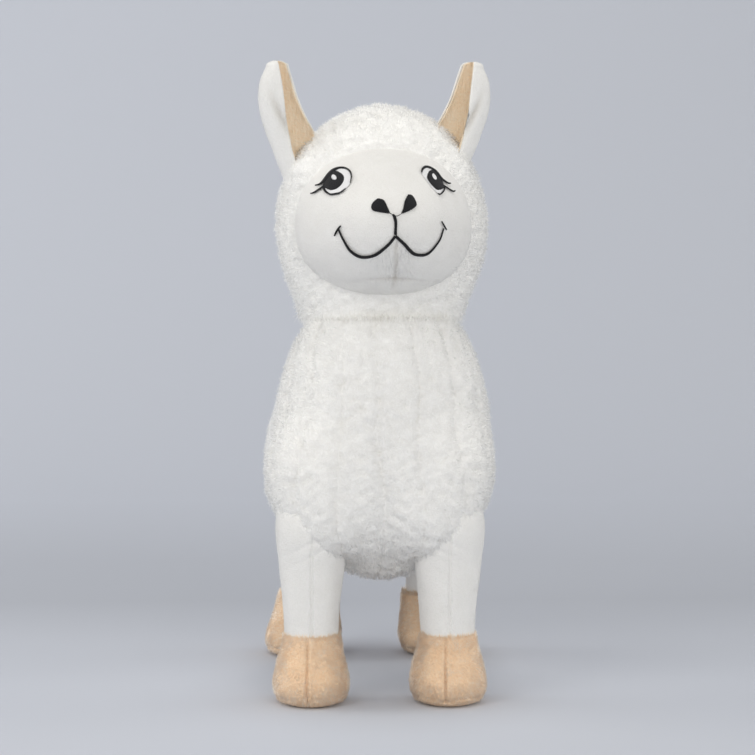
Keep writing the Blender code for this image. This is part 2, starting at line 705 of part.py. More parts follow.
def make_eye(word, side):
    """White, pupil, glint, lids and two lashes; outwards is away from the muzzle."""
    white_lift = SEAM_GAP
    pupil_lift = white_lift + STITCH_THICKNESS + SEAM_GAP
    glint_lift = pupil_lift + STITCH_THICKNESS + SEAM_GAP
    white = ellipse(EYE_X, EYE_Z, EYE_HALF_WIDTH, EYE_HALF_HEIGHT, 20)
    pupil_x, pupil_z = EYE_X + PUPIL_OUT, EYE_Z - PUPIL_DOWN
    pupil = ellipse(pupil_x, pupil_z, PUPIL_HALF_WIDTH, PUPIL_HALF_HEIGHT, 16, PUPIL_TILT)
    glint_x, glint_z = EYE_X + GLINT_OUT, EYE_Z + GLINT_UP
    glint = ellipse(glint_x, glint_z, GLINT_HALF_WIDTH, GLINT_HALF_HEIGHT, 8)
    pieces = [
        make_patch(f"eye_white_{word}", on_eye(white, side), white_lift, thread_white),
        make_patch(f"eye_pupil_{word}", on_eye(pupil, side), pupil_lift, thread_black),
        make_patch(f"eye_glint_{word}", on_eye(glint, side), glint_lift, thread_white),
    ]
    for label, radius, start, end, count, taper in (
        ("upper", LID_RADIUS, LID_START, LID_END, 12, 0.45),
        ("lower", LOWER_LID_RADIUS, LOWER_LID_START, LOWER_LID_END, 7, 0.3),
    ):
        rim = radius + SEAM_GAP + LID_CLEARANCE
        lid = arc(EYE_X, EYE_Z, EYE_HALF_WIDTH + rim, EYE_HALF_HEIGHT + rim, start, end, count)
        pieces.append(make_line(f"eyelid_{label}_{word}", on_eye(lid, side), radius, taper))
    for label, root, tip in LASHES:
        lash = []
        for share in (0.0, 0.5, 1.0):
            out = root[0] + (tip[0] - root[0]) * share
            down = root[1] + (tip[1] - root[1]) * share**0.8
            lash.append((EYE_X + out, EYE_Z - down))
        name = f"eyelash_{label}_{word}"
        pieces.append(make_line(name, on_eye(lash, side), LASH_RADIUS, 0.6))
    return pieces


def make_nostril(word, side):
    """A drop: a round end, and two straight sides that meet in a point near the philtrum."""
    middle = np.array((NOSTRIL_X, NOSTRIL_Z))
    point = np.array((NOSTRIL_POINT_X, NOSTRIL_POINT_Z))
    towards = point - middle
    reach = np.linalg.norm(towards)
    heading = math.atan2(towards[1], towards[0])
    tangent = math.acos(NOSTRIL_RADIUS / reach)
    angles = heading + np.linspace(tangent, 2.0 * math.pi - tangent, 13)
    round_end = middle + NOSTRIL_RADIUS * np.stack([np.cos(angles), np.sin(angles)], axis=1)
    flanks = [(round_end[-1] + point) / 2.0, point, (round_end[0] + point) / 2.0]
    outline = np.concatenate([round_end, flanks])
    lift = SEAM_GAP + NOSTRIL_CLEARANCE
    return make_patch(f"nostril_{word}", mirrored(outline, side), lift, thread_black)


def smile_height(x):
    """Height of the mouth line at a distance from the middle: down to its lowest, then up again."""
    if x < MOUTH_LOWEST_X:
        return LIP_MEET_Z - MOUTH_DROP * math.sin(x / MOUTH_LOWEST_X * math.pi / 2.0) ** 0.9
    share = (x - MOUTH_LOWEST_X) / (MOUTH_HALF_WIDTH - MOUTH_LOWEST_X)
    return LIP_MEET_Z - MOUTH_DROP + (MOUTH_DROP + MOUTH_CORNER_RISE) * share**2


def make_mouth():
    """The smile in one line, the philtrum down to it and a tick across each of its corners."""
    half = [(x, smile_height(x)) for x in np.linspace(0.0, MOUTH_HALF_WIDTH, 14)]
    smile = [(-x, z) for x, z in reversed(half[1:])] + half
    philtrum_end = LIP_MEET_Z + 2.0 * MOUTH_RADIUS + SEAM_GAP
    philtrum = [(0, height) for height in np.linspace(PHILTRUM_TOP_Z, philtrum_end, 6)]
    pieces = [
        make_line("smile_stitch", smile, MOUTH_RADIUS, 0.4, from_middle=True),
        make_line("philtrum_stitch", philtrum, MOUTH_RADIUS, 0.0),
    ]
    clear = MOUTH_RADIUS + MOUTH_TICK_RADIUS + SEAM_GAP
    for word, side in SIDES:
        tick = []
        for reach in (-MOUTH_TICK_HALF_LENGTH, 0.0, MOUTH_TICK_HALF_LENGTH):
            x = half[-1][0] + clear * 0.5 + reach * math.cos(MOUTH_TICK_ANGLE)
            tick.append((x, half[-1][1] + clear * 0.9 + reach * math.sin(MOUTH_TICK_ANGLE)))
        name = f"smile_corner_{word}"
        pieces.append(make_line(name, mirrored(tick, side), MOUTH_TICK_RADIUS, 0.2))
    return pieces


clear_scene()
plush = make_collection("plush_alpaca")
cutters = make_collection("clearances")
fleece = make_material("white_fleece", WHITE_FLEECE, 0.95)
smooth_plush = make_material("white_plush", WHITE_PLUSH, 0.9)
tan_plush = make_material("tan_plush", TAN_PLUSH, 0.9)
thread_black = make_material("black_thread", BLACK_THREAD, 0.55)
thread_white = make_material("white_thread", WHITE_THREAD, 0.55)

# Torso, with the tail against its rump
torso = make_torso()
torso_clearance = grown_cutter(torso, SEAM_GAP)
cut_clear(make_tail(), torso_clearance)

# Legs, hooves and soles
front_knee = (FRONT_KNEE_HALF_WIDTH, FRONT_KNEE_HALF_DEPTH)
front_top = (FRONT_TOP_HALF_WIDTH, FRONT_TOP_HALF_DEPTH)
rear_thigh = (REAR_THIGH_HALF_WIDTH, REAR_THIGH_HALF_DEPTH)
rear_knee = (FRONT_KNEE_HALF_WIDTH, (FRONT_KNEE_HALF_DEPTH + REAR_THIGH_HALF_DEPTH) / 2)
for word, side in SIDES:
    for end, x, y, knee, top, forward in (
        ("front", FRONT_LEG_X, FRONT_LEG_Y, front_knee, front_top, 0.0),
        ("rear", REAR_LEG_X, REAR_LEG_Y, rear_knee, rear_thigh, REAR_THIGH_FORWARD),
    ):
        leg = make_leg(f"leg_{end}_{word}", side * x, y, knee, top, forward)
        cut_clear(leg, torso_clearance)
        make_hoof(f"hoof_{end}_{word}", side * x, y)
        make_sole(f"sole_{end}_{word}", side * x, y)

# Head: hood, ears, face and embroidery, all turned together about the neck
head_pieces = []
hood = make_hood()
hood_clearance = grown_cutter(hood, SEAM_GAP)
face, gusset = make_face()
for piece in (face, gusset):
    cut_clear(hood, grown_cutter(piece, SEAM_GAP))
head_pieces += [hood, face, gusset]
for word, side in SIDES:
    back = make_ear_layer(f"ear_back_{word}", side, 1, EAR_BACK_THICKNESS, smooth_plush)
    lining = make_ear_layer(f"ear_lining_{word}", side, -1, EAR_LINING_THICKNESS, tan_plush)
    for layer in (back, lining):
        cut_clear(layer, hood_clearance)
        head_pieces.append(layer)

face_mesh = bmesh.new()
face_mesh.from_mesh(face.data)
face_surface = BVHTree.FromBMesh(face_mesh)
face_mesh.free()
for word, side in SIDES:
    head_pieces += make_eye(word, side)
    head_pieces.append(make_nostril(word, side))
head_pieces += make_mouth()

neck_axis = Matrix.Translation((0, NECK_AXIS_Y, 0))
turn = neck_axis @ Matrix.Rotation(HEAD_TURN, 4, "Z") @ neck_axis.inverted()
for piece in head_pieces:
    piece.data.transform(turn)
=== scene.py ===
"""Standing plush alpaca: curly fleece, smooth plush, tan hooves and an embroidered face."""

import math

import bpy
import numpy as np
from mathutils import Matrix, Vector


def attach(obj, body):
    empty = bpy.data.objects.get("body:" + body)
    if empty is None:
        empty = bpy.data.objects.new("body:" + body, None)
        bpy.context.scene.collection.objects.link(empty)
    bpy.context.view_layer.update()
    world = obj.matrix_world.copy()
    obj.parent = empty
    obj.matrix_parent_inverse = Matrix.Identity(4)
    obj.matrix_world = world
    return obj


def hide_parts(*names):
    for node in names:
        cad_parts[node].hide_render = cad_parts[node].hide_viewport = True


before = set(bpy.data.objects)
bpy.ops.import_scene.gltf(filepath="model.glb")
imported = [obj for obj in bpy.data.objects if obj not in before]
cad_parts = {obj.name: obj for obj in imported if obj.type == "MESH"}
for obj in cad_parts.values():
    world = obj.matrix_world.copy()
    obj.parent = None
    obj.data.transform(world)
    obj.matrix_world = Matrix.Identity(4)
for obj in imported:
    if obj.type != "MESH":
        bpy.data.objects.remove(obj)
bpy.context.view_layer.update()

# Head: everything on it turns together about an upright axis in the neck
HEAD_TURN = math.radians(7)
NECK_AXIS_Y = -0.060
NECK_SEAM_Z = 0.214
NECK_SEAM_INSET = 0.006
FACE_BACK_Y = -0.054
FACE_SEAM_DEPTH = 0.0011
CHIN_SEAM_TOP_Z = 0.2605
GUSSET_Z = 0.2382
GUSSET_SLOPE = math.radians(7)

# Fleece: dense pile with curls on it, loose fibres that stand out of the curls, and partings,
# which are as wide as the given share of the angle between two rows
ROW_ANGLE = math.radians(12)
PILE_DEPTH = 0.0030
CURL_SIZE = 0.0054
CURL_HEIGHT = 0.0021
SMALL_CURL_HEIGHT = 0.0009
FIBRE_LENGTH = 0.0027
FIBRE_WIDTH = 0.00036
PARTING_DEPTH = 0.0024
PARTING_WIDTH = 0.17
FIBRES_A_PIECE = 60000

# Short nap of the smooth and the tan plush
NAP_WIDTH = 0.00022
FLOOR_CLEARANCE = 0.0002

# Legs and hooves
LEG_FOOT_Z = 0.0383
LEG_TOP_Z = 0.112
LEG_SEAM_DEPTH = 0.0008
LEG_DENT_DEPTH = 0.0006
LEG_PLACES = (
    ("front_left", -0.0384, -0.078),
    ("front_right", 0.0384, -0.078),
    ("rear_left", -0.0378, 0.086),
    ("rear_right", 0.0378, 0.086),
)
HOOF_HEIGHT = 0.038
SOLE_THICKNESS = 0.005
HOOF_SEAM_TURN = math.radians(8)
REAR_HOOF_SPREAD = 0.0044

# Embroidery: the thread in metres, and shapes in millimetres across and up the face as seen
# from straight in front of it
THREAD_WIDTH = 0.00042
THREAD_STEP = 0.00030
THREAD_CROWN = 0.0004
STITCH_SLANT = 0.35

# Outlines of the filled shapes: (across, up) at each control point
EYE_WHITES = {
    "left": (
        (-28.0, 296.9), (-23.5, 298.5), (-20.4, 296.2), (-20.8, 291.7), (-23.8, 287.9),
        (-27.6, 285.1), (-31.6, 284.6), (-33.8, 287.2), (-32.5, 291.5),
    ),
    "right": (
        (18.4, 296.0), (20.4, 298.3), (22.9, 298.8), (27.0, 296.9), (29.3, 292.6),
        (30.9, 288.0), (29.0, 285.5), (26.8, 284.7), (23.6, 287.3), (20.6, 291.5),
    ),
}
PUPILS = {
    "left": (
        (-26.7, 296.6), (-24.4, 295.0), (-23.9, 293.0), (-25.1, 290.2), (-27.9, 287.4),
        (-30.8, 286.4), (-33.3, 287.5), (-34.1, 289.3), (-32.8, 291.9), (-30.6, 294.7),
        (-28.6, 296.5),
    ),
    "right": (
        (25.6, 297.2), (22.8, 296.3), (21.0, 293.6), (21.5, 291.2), (23.0, 289.1),
        (25.3, 286.8), (27.4, 286.5), (30.4, 287.5), (31.0, 288.9), (30.2, 292.0),
        (28.6, 295.1),
    ),
}
NOSTRILS = {
    "left": (
        (-8.4, 282.2), (-5.7, 280.8), (-4.5, 277.9), (-3.2, 274.4), (-3.2, 274.3),
        (-7.3, 274.7), (-11.8, 275.7), (-12.8, 277.4), (-12.1, 279.6), (-10.2, 281.5),
    ),
    "right": (
        (8.7, 284.3), (10.5, 283.3), (11.9, 279.8), (11.3, 278.0), (7.5, 275.7),
        (2.6, 274.0), (2.6, 274.1), (4.0, 276.9), (5.3, 280.8), (7.2, 283.6),
    ),
}

# Glints in metres: middle across and up, half width, half height, tilt
GLINTS = {
    "left": (-0.0284, 0.2929, 0.00115, 0.0014, 0.0),
    "right": (0.0253, 0.2932, 0.0011, 0.0017, 0.5),
}

# Stitched lines: (across, up, half width) at each control point
UPPER_LIDS = {
    "left": (
        (-37.5, 288.9, 0.32), (-36.0, 289.3, 0.42), (-34.7, 290.2, 0.55), (-33.5, 291.4, 0.7),
        (-31.5, 293.9, 0.75), (-30.0, 295.5, 0.8), (-28.3, 297.0, 0.75), (-26.6, 298.0, 0.6),
        (-24.9, 298.5, 0.55), (-23.5, 298.5, 0.6), (-22.2, 298.2, 0.6), (-21.0, 297.3, 0.55),
        (-20.3, 296.0, 0.45), (-20.2, 294.5, 0.35), (-20.4, 293.1, 0.25), (-21.5, 290.0, 0.1),
    ),
    "right": (
        (18.1, 295.9, 0.4), (18.7, 297.1, 0.55), (19.8, 298.1, 0.6), (21.1, 298.8, 0.65),
        (22.5, 299.0, 0.6), (24.0, 298.7, 0.6), (25.4, 298.1, 0.6), (26.8, 297.2, 0.7),
        (28.0, 296.0, 0.75), (28.9, 294.7, 0.75), (29.7, 293.4, 0.7), (30.8, 292.1, 0.65),
        (32.1, 291.2, 0.6), (33.4, 290.4, 0.5), (34.6, 290.0, 0.4), (35.9, 289.9, 0.32),
    ),
}
LOWER_LIDS = {
    "left": (
        (-34.0, 289.1, 0.4), (-34.2, 287.4, 0.5), (-33.8, 286.0, 0.55), (-32.8, 284.8, 0.55),
        (-31.7, 284.2, 0.55), (-30.2, 284.3, 0.5), (-28.7, 284.6, 0.45), (-27.1, 285.1, 0.35),
        (-25.5, 286.2, 0.25), (-24.1, 287.4, 0.1),
    ),
    "right": (
        (31.0, 289.1, 0.5), (31.2, 287.9, 0.5), (30.9, 286.9, 0.45), (29.8, 285.7, 0.4),
        (28.6, 284.8, 0.4), (27.1, 284.2, 0.35), (25.9, 284.6, 0.2),
    ),
}
LOWER_LASHES = {
    "left": ((-40.2, 284.6, 0.3), (-38.9, 285.0, 0.4), (-36.3, 286.9, 0.42), (-34.0, 288.6, 0.5)),
    "right": ((31.0, 288.8, 0.5), (34.0, 287.1, 0.42), (36.9, 285.7, 0.4), (38.5, 286.1, 0.25)),
}
SMILES = {
    "left": (
        (-29.0, 265.9, 0.42), (-27.2, 261.4, 0.5), (-23.8, 255.3, 0.62), (-20.8, 252.5, 0.75),
        (-17.9, 251.0, 0.8), (-15.1, 250.7, 0.8), (-12.0, 251.3, 0.85), (-8.9, 252.9, 0.9),
        (-3.6, 258.0, 0.8), (-0.5, 262.3, 0.75),
    ),
    "right": (
        (-0.5, 262.3, 0.75), (4.8, 257.8, 0.85), (7.9, 254.7, 0.9), (11.0, 252.5, 0.85),
        (14.9, 251.7, 0.8), (18.6, 252.2, 0.78), (21.4, 254.2, 0.65), (24.1, 257.4, 0.55),
        (26.3, 260.7, 0.48), (28.1, 266.3, 0.4),
    ),
}
SMILE_CORNERS = {
    "left": ((-30.7, 262.2, 0.35), (-29.5, 265.1, 0.5), (-27.8, 267.7, 0.35)),
    "right": ((26.8, 269.6, 0.3), (28.4, 267.3, 0.42), (30.1, 265.0, 0.3)),
}
PHILTRUM = (
    (-1.7, 273.6, 0.6), (-1.0, 272.3, 0.8), (-0.5, 270.3, 0.8), (-0.4, 268.0, 0.75),
    (-0.5, 265.3, 0.75), (-0.5, 262.7, 0.8),
)
NOSE_THREAD = ((-3.0, 274.2, 0.12), (-0.4, 273.0, 0.15), (1.1, 273.1, 0.15), (2.3, 273.8, 0.12))

SIDES = (("left", -1), ("right", 1))

# Backdrop: painted shade of the paper at each share of the way back
PAPER = (0.635, 0.662, 0.725)
PAPER_PAINTED_SHADES = (
    (0.0, 0.98), (0.09, 0.98), (0.17, 0.89), (0.25, 0.78), (0.35, 0.83), (0.55, 1.02), (1.0, 1.08),
)

# Lamps: place, width and power, and the room's even light
LAMPS = {
    "key": ((-1.2, -1.4, 1.4), 1.2, 7.0),
    "top": ((0.0, 0.0, 1.9), 0.6, 7.0),
    "front": ((0.4, -2.2, 0.5), 2.0, 18.5),
    "left": ((-1.9, 0.3, 0.7), 1.2, 9.0),
    "right": ((1.9, 0.3, 0.7), 1.2, 6.2),
}
LAMP_AIM = Vector((0.0, -0.02, 0.2))
ROOM_LIGHT = 0.46

# Camera: where it looks, how far from there it stands, its two angles and its lens
CAMERA_AIM = Vector((-0.0015, -0.085, 0.1828))
CAMERA_DISTANCE = 1.6043
CAMERA_AZIMUTH = math.radians(-2.1)
CAMERA_ELEVATION = math.radians(4.19)
CAMERA_LENS = 137.7


# Numbers


def lattice_values(cells, seed):
    """A fixed random number from 0 to 1 for each whole-numbered cell."""
    cells = cells.astype(np.int64).astype(np.uint64)
    mixed = cells[..., 0] * np.uint64(73856093)
    mixed ^= cells[..., 1] * np.uint64(19349663)
    mixed ^= cells[..., 2] * np.uint64(83492791)
    mixed ^= np.uint64(seed * 2654435761 % 2**32)
    for shift, factor in ((15, 2246822519), (13, 3266489917)):
        mixed &= np.uint64(0xFFFFFFFF)
        mixed = (mixed ^ (mixed >> np.uint64(shift))) * np.uint64(factor)
    mixed &= np.uint64(0xFFFFFFFF)
    return (mixed ^ (mixed >> np.uint64(16))) / 4294967295.0


def clouds(points, size, seed):
    """Soft random heights from -1 to 1.

    Random numbers sit at the corners of a cubic lattice of the given size, and a smooth
    step blends the eight corners round each point.
    """
    scaled = points / size
    corner = np.floor(scaled)
    share = scaled - corner
    share = share * share * (3.0 - 2.0 * share)
    total = np.zeros(points.shape[:-1])
    for step in np.ndindex(2, 2, 2):
        step = np.array(step)
        weight = np.prod(np.where(step == 1, share, 1.0 - share), axis=-1)
        total += weight * lattice_values(corner + step, seed)
    return total * 2.0 - 1.0


def curls(points, size, seed):
    """Round bumps, 1 at the middle of each and 0 between them.

    One point is strewn in each cell of a cubic lattice of the given size, and the height
    falls with the distance from the nearest of them.
    """
    scaled = points / size
    home = np.floor(scaled)
    nearest = np.full(points.shape[:-1], 9.0)
    for step in np.ndindex(3, 3, 3):
        cell = home + (np.array(step) - 1)
        strewn = [lattice_values(cell, seed + axis) for axis in range(3)]
        gap = cell + np.stack(strewn, axis=-1) - scaled
        nearest = np.minimum(nearest, np.einsum("...i,...i->...", gap, gap))
    return np.clip(1.0 - nearest, 0.0, 1.0)


def unit(vectors):
    """The vectors at length one."""
    return vectors / np.maximum(np.linalg.norm(vectors, axis=-1, keepdims=True), 1e-12)


def along_surface(ways, normals):
    """The part of the directions that runs along a surface with these normals."""
    return ways - normals * np.einsum("ij,ij->i", ways, normals)[:, None]


def ridge(away, width):
    """A soft ridge: 1 where away is 0, gone at about twice the width on either side."""
    return np.exp(-((away / width) ** 2))


def rise(value, width):
    """0 for all below nothing, then straight up to 1 at the width."""
    return np.clip(value / width, 0.0, 1.0)


def cubic(share, start, end, leaving, arriving):
    """The cubic that runs from start to end and has the given slopes at both of them."""
    square, cube = share**2, share**3
    return (
        (2 * cube - 3 * square + 1) * start
        + (3 * square - 2 * cube) * end
        + (cube - 2 * square + share) * leaving
        + (cube - square) * arriving
    )


def smooth_levels(z, levels):
    """Values between levels, eased so that the profile has no corner."""
    levels = np.array(levels)
    index = np.clip(np.searchsorted(levels[:, 0], z, side="right") - 1, 0, len(levels) - 2)
    start, end = levels[index], levels[index + 1]
    width = (end[:, 0] - start[:, 0])[:, None]
    share = (z - start[:, 0])[:, None] / width
    slopes = np.gradient(levels[:, 1:], levels[:, 0], axis=0)
    leaving, arriving = slopes[index] * width, slopes[index + 1] * width
    return cubic(share, start[:, 1:], end[:, 1:], leaving, arriving)


def turn_head(points):
    """Points turned with the head about the upright axis in the neck."""
    cosine, sine = math.cos(HEAD_TURN), math.sin(HEAD_TURN)
    x, y = points[..., 0], points[..., 1] - NECK_AXIS_Y
    turned = [cosine * x - sine * y, sine * x + cosine * y + NECK_AXIS_Y, points[..., 2]]
    return np.stack(turned, axis=-1)


def turn_head_way(ways):
    """Directions turned with the head."""
    axis = np.array([0.0, NECK_AXIS_Y, 0.0])
    return turn_head(ways + axis) - axis


# Forms: ellipsoids (middle, half sizes) that run into one another


def form(*lumps, blend):
    """A blended form, as arrays of middles and of half sizes with the width of its valleys."""
    middles = np.array([row[:3] for row in lumps])
    return middles, np.array([row[3:] for row in lumps]), blend


def skin_distance(points, body):
    """Distance from a form's skin, negative inside.

    Each ellipsoid's distance is its scaled radius less one, over the slope of that radius,
    and the smaller of two is taken, less a rounded allowance where they are alike.
    """
    middles, halves, blend = body
    total = None
    for middle, half in zip(middles, halves):
        scaled = (points - middle) / half
        reach = np.linalg.norm(scaled, axis=-1)
        slope = np.maximum(np.linalg.norm(scaled / half, axis=-1), 1e-9)
        distance = reach * (reach - 1.0) / slope
        if total is None:
            total = distance
            continue
        overlap = np.clip(1.0 - np.abs(total - distance) / blend, 0.0, 1.0)
        total = np.minimum(total, distance) - overlap**2 * blend / 4.0
    return total


def skin_normals(points, body):
    """Outward directions of a form: how its distance grows along each axis."""
    step = 0.0004
    grown = []
    for axis in range(3):
        nudge = np.zeros(3)
        nudge[axis] = step
        ahead = skin_distance(points + nudge, body)
        grown.append(ahead - skin_distance(points - nudge, body))
    return unit(np.stack(grown, axis=-1))


def skin_along(starts, rays, body, reach):
    """Where rays from inside a form leave its skin, by halving the step thirty times."""
    near = np.zeros(rays.shape[:-1])
    far = np.full(rays.shape[:-1], reach)
    for _ in range(30):
        middle = (near + far) / 2.0
        outside = skin_distance(starts + rays * middle[..., None], body) > 0.0
        near, far = np.where(outside, near, middle), np.where(outside, middle, far)
    return starts + rays * near[..., None]


def ball_rings(body, columns, rows, stretch):
    """A form's skin on rings of longitude and latitude round its first lump's middle."""
    latitude = (np.arange(rows) + 0.5) / rows * math.pi - math.pi / 2.0
    longitude = np.arange(columns) / columns * 2.0 * math.pi - math.pi / 2.0
    latitude, longitude = np.meshgrid(latitude, longitude, indexing="ij")
    across = np.cos(latitude)
    rays = [across * np.cos(longitude), across * np.sin(longitude), np.sin(latitude)]
    rays = unit(np.stack(rays, axis=-1) * np.array(stretch))
    return skin_along(body[0][0], rays, body, 0.4)


def pair(x, *rest):
    """The same lump on the left and on the right."""
    return (-x, *rest), (x, *rest)


TORSO = form(
    (0, 0.006, 0.126, 0.0642, 0.106, 0.056),
    (0.0026, -0.048, 0.150, 0.0612, 0.056, 0.085),
    *pair(0.032, -0.070, 0.126, 0.031, 0.034, 0.033),
    *pair(0.026, -0.083, 0.103, 0.021, 0.021, 0.021),
    *pair(0.033, 0.072, 0.128, 0.030, 0.040, 0.040),
    blend=0.016,
)
HOOD = form(
    (0.0052, -0.038, 0.260, 0.0590, 0.041, 0.058),
    (0.0052, -0.037, 0.2812, 0.053, 0.041, 0.053),
    (0.0052, -0.038, 0.220, 0.043, 0.038, 0.045),
    blend=0.018,
)
FACE = form(
    (0.0022, -0.066, 0.260, 0.0475, 0.040, 0.033),
    (0.0022, -0.058, 0.274, 0.0475, 0.045, 0.038),
    (0, -0.083, 0.268, 0.033, 0.038, 0.027),
    blend=0.014,
)
TAIL = form((0, 0.1075, 0.142, 0.015, 0.012, 0.027), blend=0.01)

# Ears: a leaf folded lengthwise, open forwards and towards the other ear
EAR_Y, EAR_LEAN, EAR_BASE_Z = -0.042, 0.10, 0.284
EAR_HEIGHT, EAR_FOLD_X, EAR_HALF_DEPTH = 0.0745, 0.0645, 0.0090
EAR_REAR_RIM = math.radians(166)

# Levels of an ear in shares: of its height; of its fold's furthest X, for the fold, the front rim
# and the rear rim; and of its greatest half depth
EAR_LEVELS = np.array(
    [
        (0.000, 0.722, 0.632, 0.376, 0.944),
        (0.162, 0.789, 0.677, 0.394, 0.978),
        (0.324, 0.869, 0.734, 0.439, 1.000),
        (0.473, 0.935, 0.776, 0.526, 0.978),
        (0.608, 0.982, 0.805, 0.617, 0.922),
        (0.743, 1.000, 0.824, 0.689, 0.811),
        (0.865, 0.979, 0.842, 0.734, 0.622),
        (0.953, 0.935, 0.857, 0.770, 0.422),
        (0.984, 0.920, 0.862, 0.788, 0.322),
        (1.000, 0.884, 0.866, 0.830, 0.178),
    ]
)


# Shader maths


class Channel:
    """A shader value that takes part in sums and products."""

    def __init__(self, finish, socket):
        self.finish = finish
        self.socket = socket

    def maths(self, operation, first, second):
        return self.finish.node("ShaderNodeMath", {"operation": operation}, first, second)

    def __add__(self, other):
        return self.maths("ADD", self, other)

    def __sub__(self, other):
        return self.maths("SUBTRACT", self, other)

    def __rsub__(self, other):
        return self.maths("SUBTRACT", other, self)

    def __mul__(self, other):
        return self.maths("MULTIPLY", self, other)

    __radd__ = __add__
    __rmul__ = __mul__


class Finish:
    """A material that is built node by node."""

    def __init__(self, name):
        self.material = bpy.data.materials.new(name)
        self.material.use_nodes = True
        self.tree = self.material.node_tree
        self.shader = self.tree.nodes["Principled BSDF"]
        self.place = self.node("ShaderNodeTexCoord", {}, output="Object")

    def put(self, socket, value):
        """Sets a socket to a value or links a channel to it."""
        if isinstance(value, Channel):
            self.tree.links.new(value.socket, socket)
        else:
            socket.default_value = value

    def node(self, kind, settings, *values, output=0, **named):
        """Adds a node with its settings and its sockets' values or links, None being left out."""
        node = self.tree.nodes.new(kind)
        for setting, value in settings.items():
            setattr(node, setting, value)
        for socket, value in zip(node.inputs, values):
            if value is not None:
                self.put(socket, value)
        for name, value in named.items():
            self.put(node.inputs[name.replace("_", " ").title()], value)
        return Channel(self, node.outputs[output])

    def noise(self, scale, detail=2.0, roughness=0.5):
        """Cloudy values from 0 to 1, so many to the metre."""
        return self.node(
            "ShaderNodeTexNoise", {}, Vector=self.place, Scale=scale, Detail=detail,
            Roughness=roughness,
        )

    def attribute(self, name):
        """A value that the mesh carries at each point."""
        return self.node("ShaderNodeAttribute", {"attribute_name": name}, output="Fac")

    def mix(self, share, first, second):
        """A colour between two colours, which are the node's seventh and eighth sockets."""
        colours = (*[None] * 5, first, second)
        return self.node("ShaderNodeMix", {"data_type": "RGBA"}, share, *colours, output=2)

    def bump(self, height, distance):
        """Tilts the surface as a height says; distance is how tall a height of one is."""
        normal = self.node("ShaderNodeBump", {}, Height=height, Distance=distance, Strength=1.0)
        self.put(self.shader.inputs["Normal"], normal)

    def look(self, colour, roughness, sheen=0.0, sheen_roughness=0.5):
        """The shader's colour and roughness, and the soft light that a nap gives back."""
        for name, value in (
            ("Base Color", colour),
            ("Roughness", roughness),
            ("Sheen Weight", sheen),
            ("Sheen Roughness", sheen_roughness),
            ("Specular IOR Level", 0.2),
        ):
            self.put(self.shader.inputs[name], value)

    def let_light_through(self, colour, share):
        """Lights a fibre from its open side: its back mostly takes what falls on its front."""
        glow = self.node("ShaderNodeBsdfTranslucent", {}, colour)
        behind = self.node("ShaderNodeNewGeometry", {}, output="Backfacing")
        mixed = self.node("ShaderNodeMixShader", {}, behind * (0.9 - share) + share)
        node = mixed.socket.node
        self.tree.links.new(self.shader.outputs[0], node.inputs[1])
        self.tree.links.new(glow.socket, node.inputs[2])
        self.tree.links.new(node.outputs[0], self.tree.nodes["Material Output"].inputs[0])


def rgba(red, green, blue):
    """A colour with full cover."""
    return (red, green, blue, 1.0)


def fibre_finish(name, root_shade_colour, dark, light, through):
    """Fibres: a tone that varies from fibre to fibre, painted shade at each root and, on the fleece,
    in the curls' valleys, and lit through.
    """
    finish = Finish(name)
    fibre = finish.mix(finish.attribute("tone_and_valley_shade"), rgba(*dark), rgba(*light))
    # Painted shade: each fibre darkens towards its root, where the pile shades it
    colour = finish.mix(finish.attribute("root") * 0.6, fibre, rgba(*root_shade_colour))
    finish.look(colour, 0.85, sheen=0.25)
    finish.let_light_through(rgba(*light), through)
    return finish.material


def fleece_ground_finish():
    """The woven ground and the dense pile between the curls."""
    finish = Finish("fleece_ground")
    fine = finish.noise(900.0, 3.0)
    broad = finish.noise(140.0, 2.0)
    colour = finish.mix(broad, rgba(0.80, 0.79, 0.765), rgba(0.91, 0.905, 0.89))
    finish.look(colour, 0.9, sheen=0.25)
    finish.bump(fine * 0.6 + broad * 0.4, 0.0008)
    return finish.material


def plush_finish(name, dark, light, nap_size, nap_height):
    """Short plush: a fine nap, brushed into cloudy patches, with painted warm shade in its seams
    and creases.

    Where it is puckered, fine gathers run up it.
    """
    finish = Finish(name)
    nap = finish.noise(nap_size, 3.0, 0.6)
    brushed = finish.noise(90.0, 3.0, 0.6)
    colour = finish.mix(brushed + nap * 1.6 - 0.8, rgba(*dark), rgba(*light))
    # Painted warm shade in seams, brow lines and creases, partly the seams' own darker thread
    colour = finish.mix(finish.attribute("seam") * 0.6, colour, rgba(0.50, 0.45, 0.38))
    finish.look(colour, brushed * 0.1 + 0.82, sheen=0.25, sheen_roughness=0.4)
    stretched = finish.node("ShaderNodeMapping", {}, finish.place, Scale=(1.0, 0.25, 0.12))
    gathers = finish.node("ShaderNodeTexNoise", {}, Vector=stretched, Scale=900.0, Detail=1.0)
    gathers = gathers * finish.attribute("puckered") * 2.0
    finish.bump(nap * 0.7 + brushed * 0.5 + gathers, nap_height)
    return finish.material


def backdrop_finish():
    """Bluish grey paper with painted shade: a darker band where the floor starts to bend upwards,
    and darker towards the right.
    """
    finish = Finish("backdrop_paper")
    away = finish.node("ShaderNodeSeparateXYZ", {}, finish.place, output=1)
    share = finish.node("ShaderNodeMapRange", {}, away, -0.2, 1.8)
    paper = finish.node("ShaderNodeValToRGB", {}, share)
    stops = paper.socket.node.color_ramp.elements
    while len(stops) < len(PAPER_PAINTED_SHADES):
        stops.new(0.5)
    for stop, (position, shade) in zip(stops, PAPER_PAINTED_SHADES):
        stop.position = position
        stop.color = rgba(*(value * shade for value in PAPER))
    # Painted shadow: the paper darkens towards the right
    beside = finish.node("ShaderNodeSeparateXYZ", {}, finish.place, output=0)
    painted_shade_right = finish.node("ShaderNodeMapRange", {}, beside, -0.5, 0.5, 0.0, 0.22)
    finish.look(finish.mix(painted_shade_right, paper, rgba(0.43, 0.445, 0.475)), 0.95)
    return finish.material


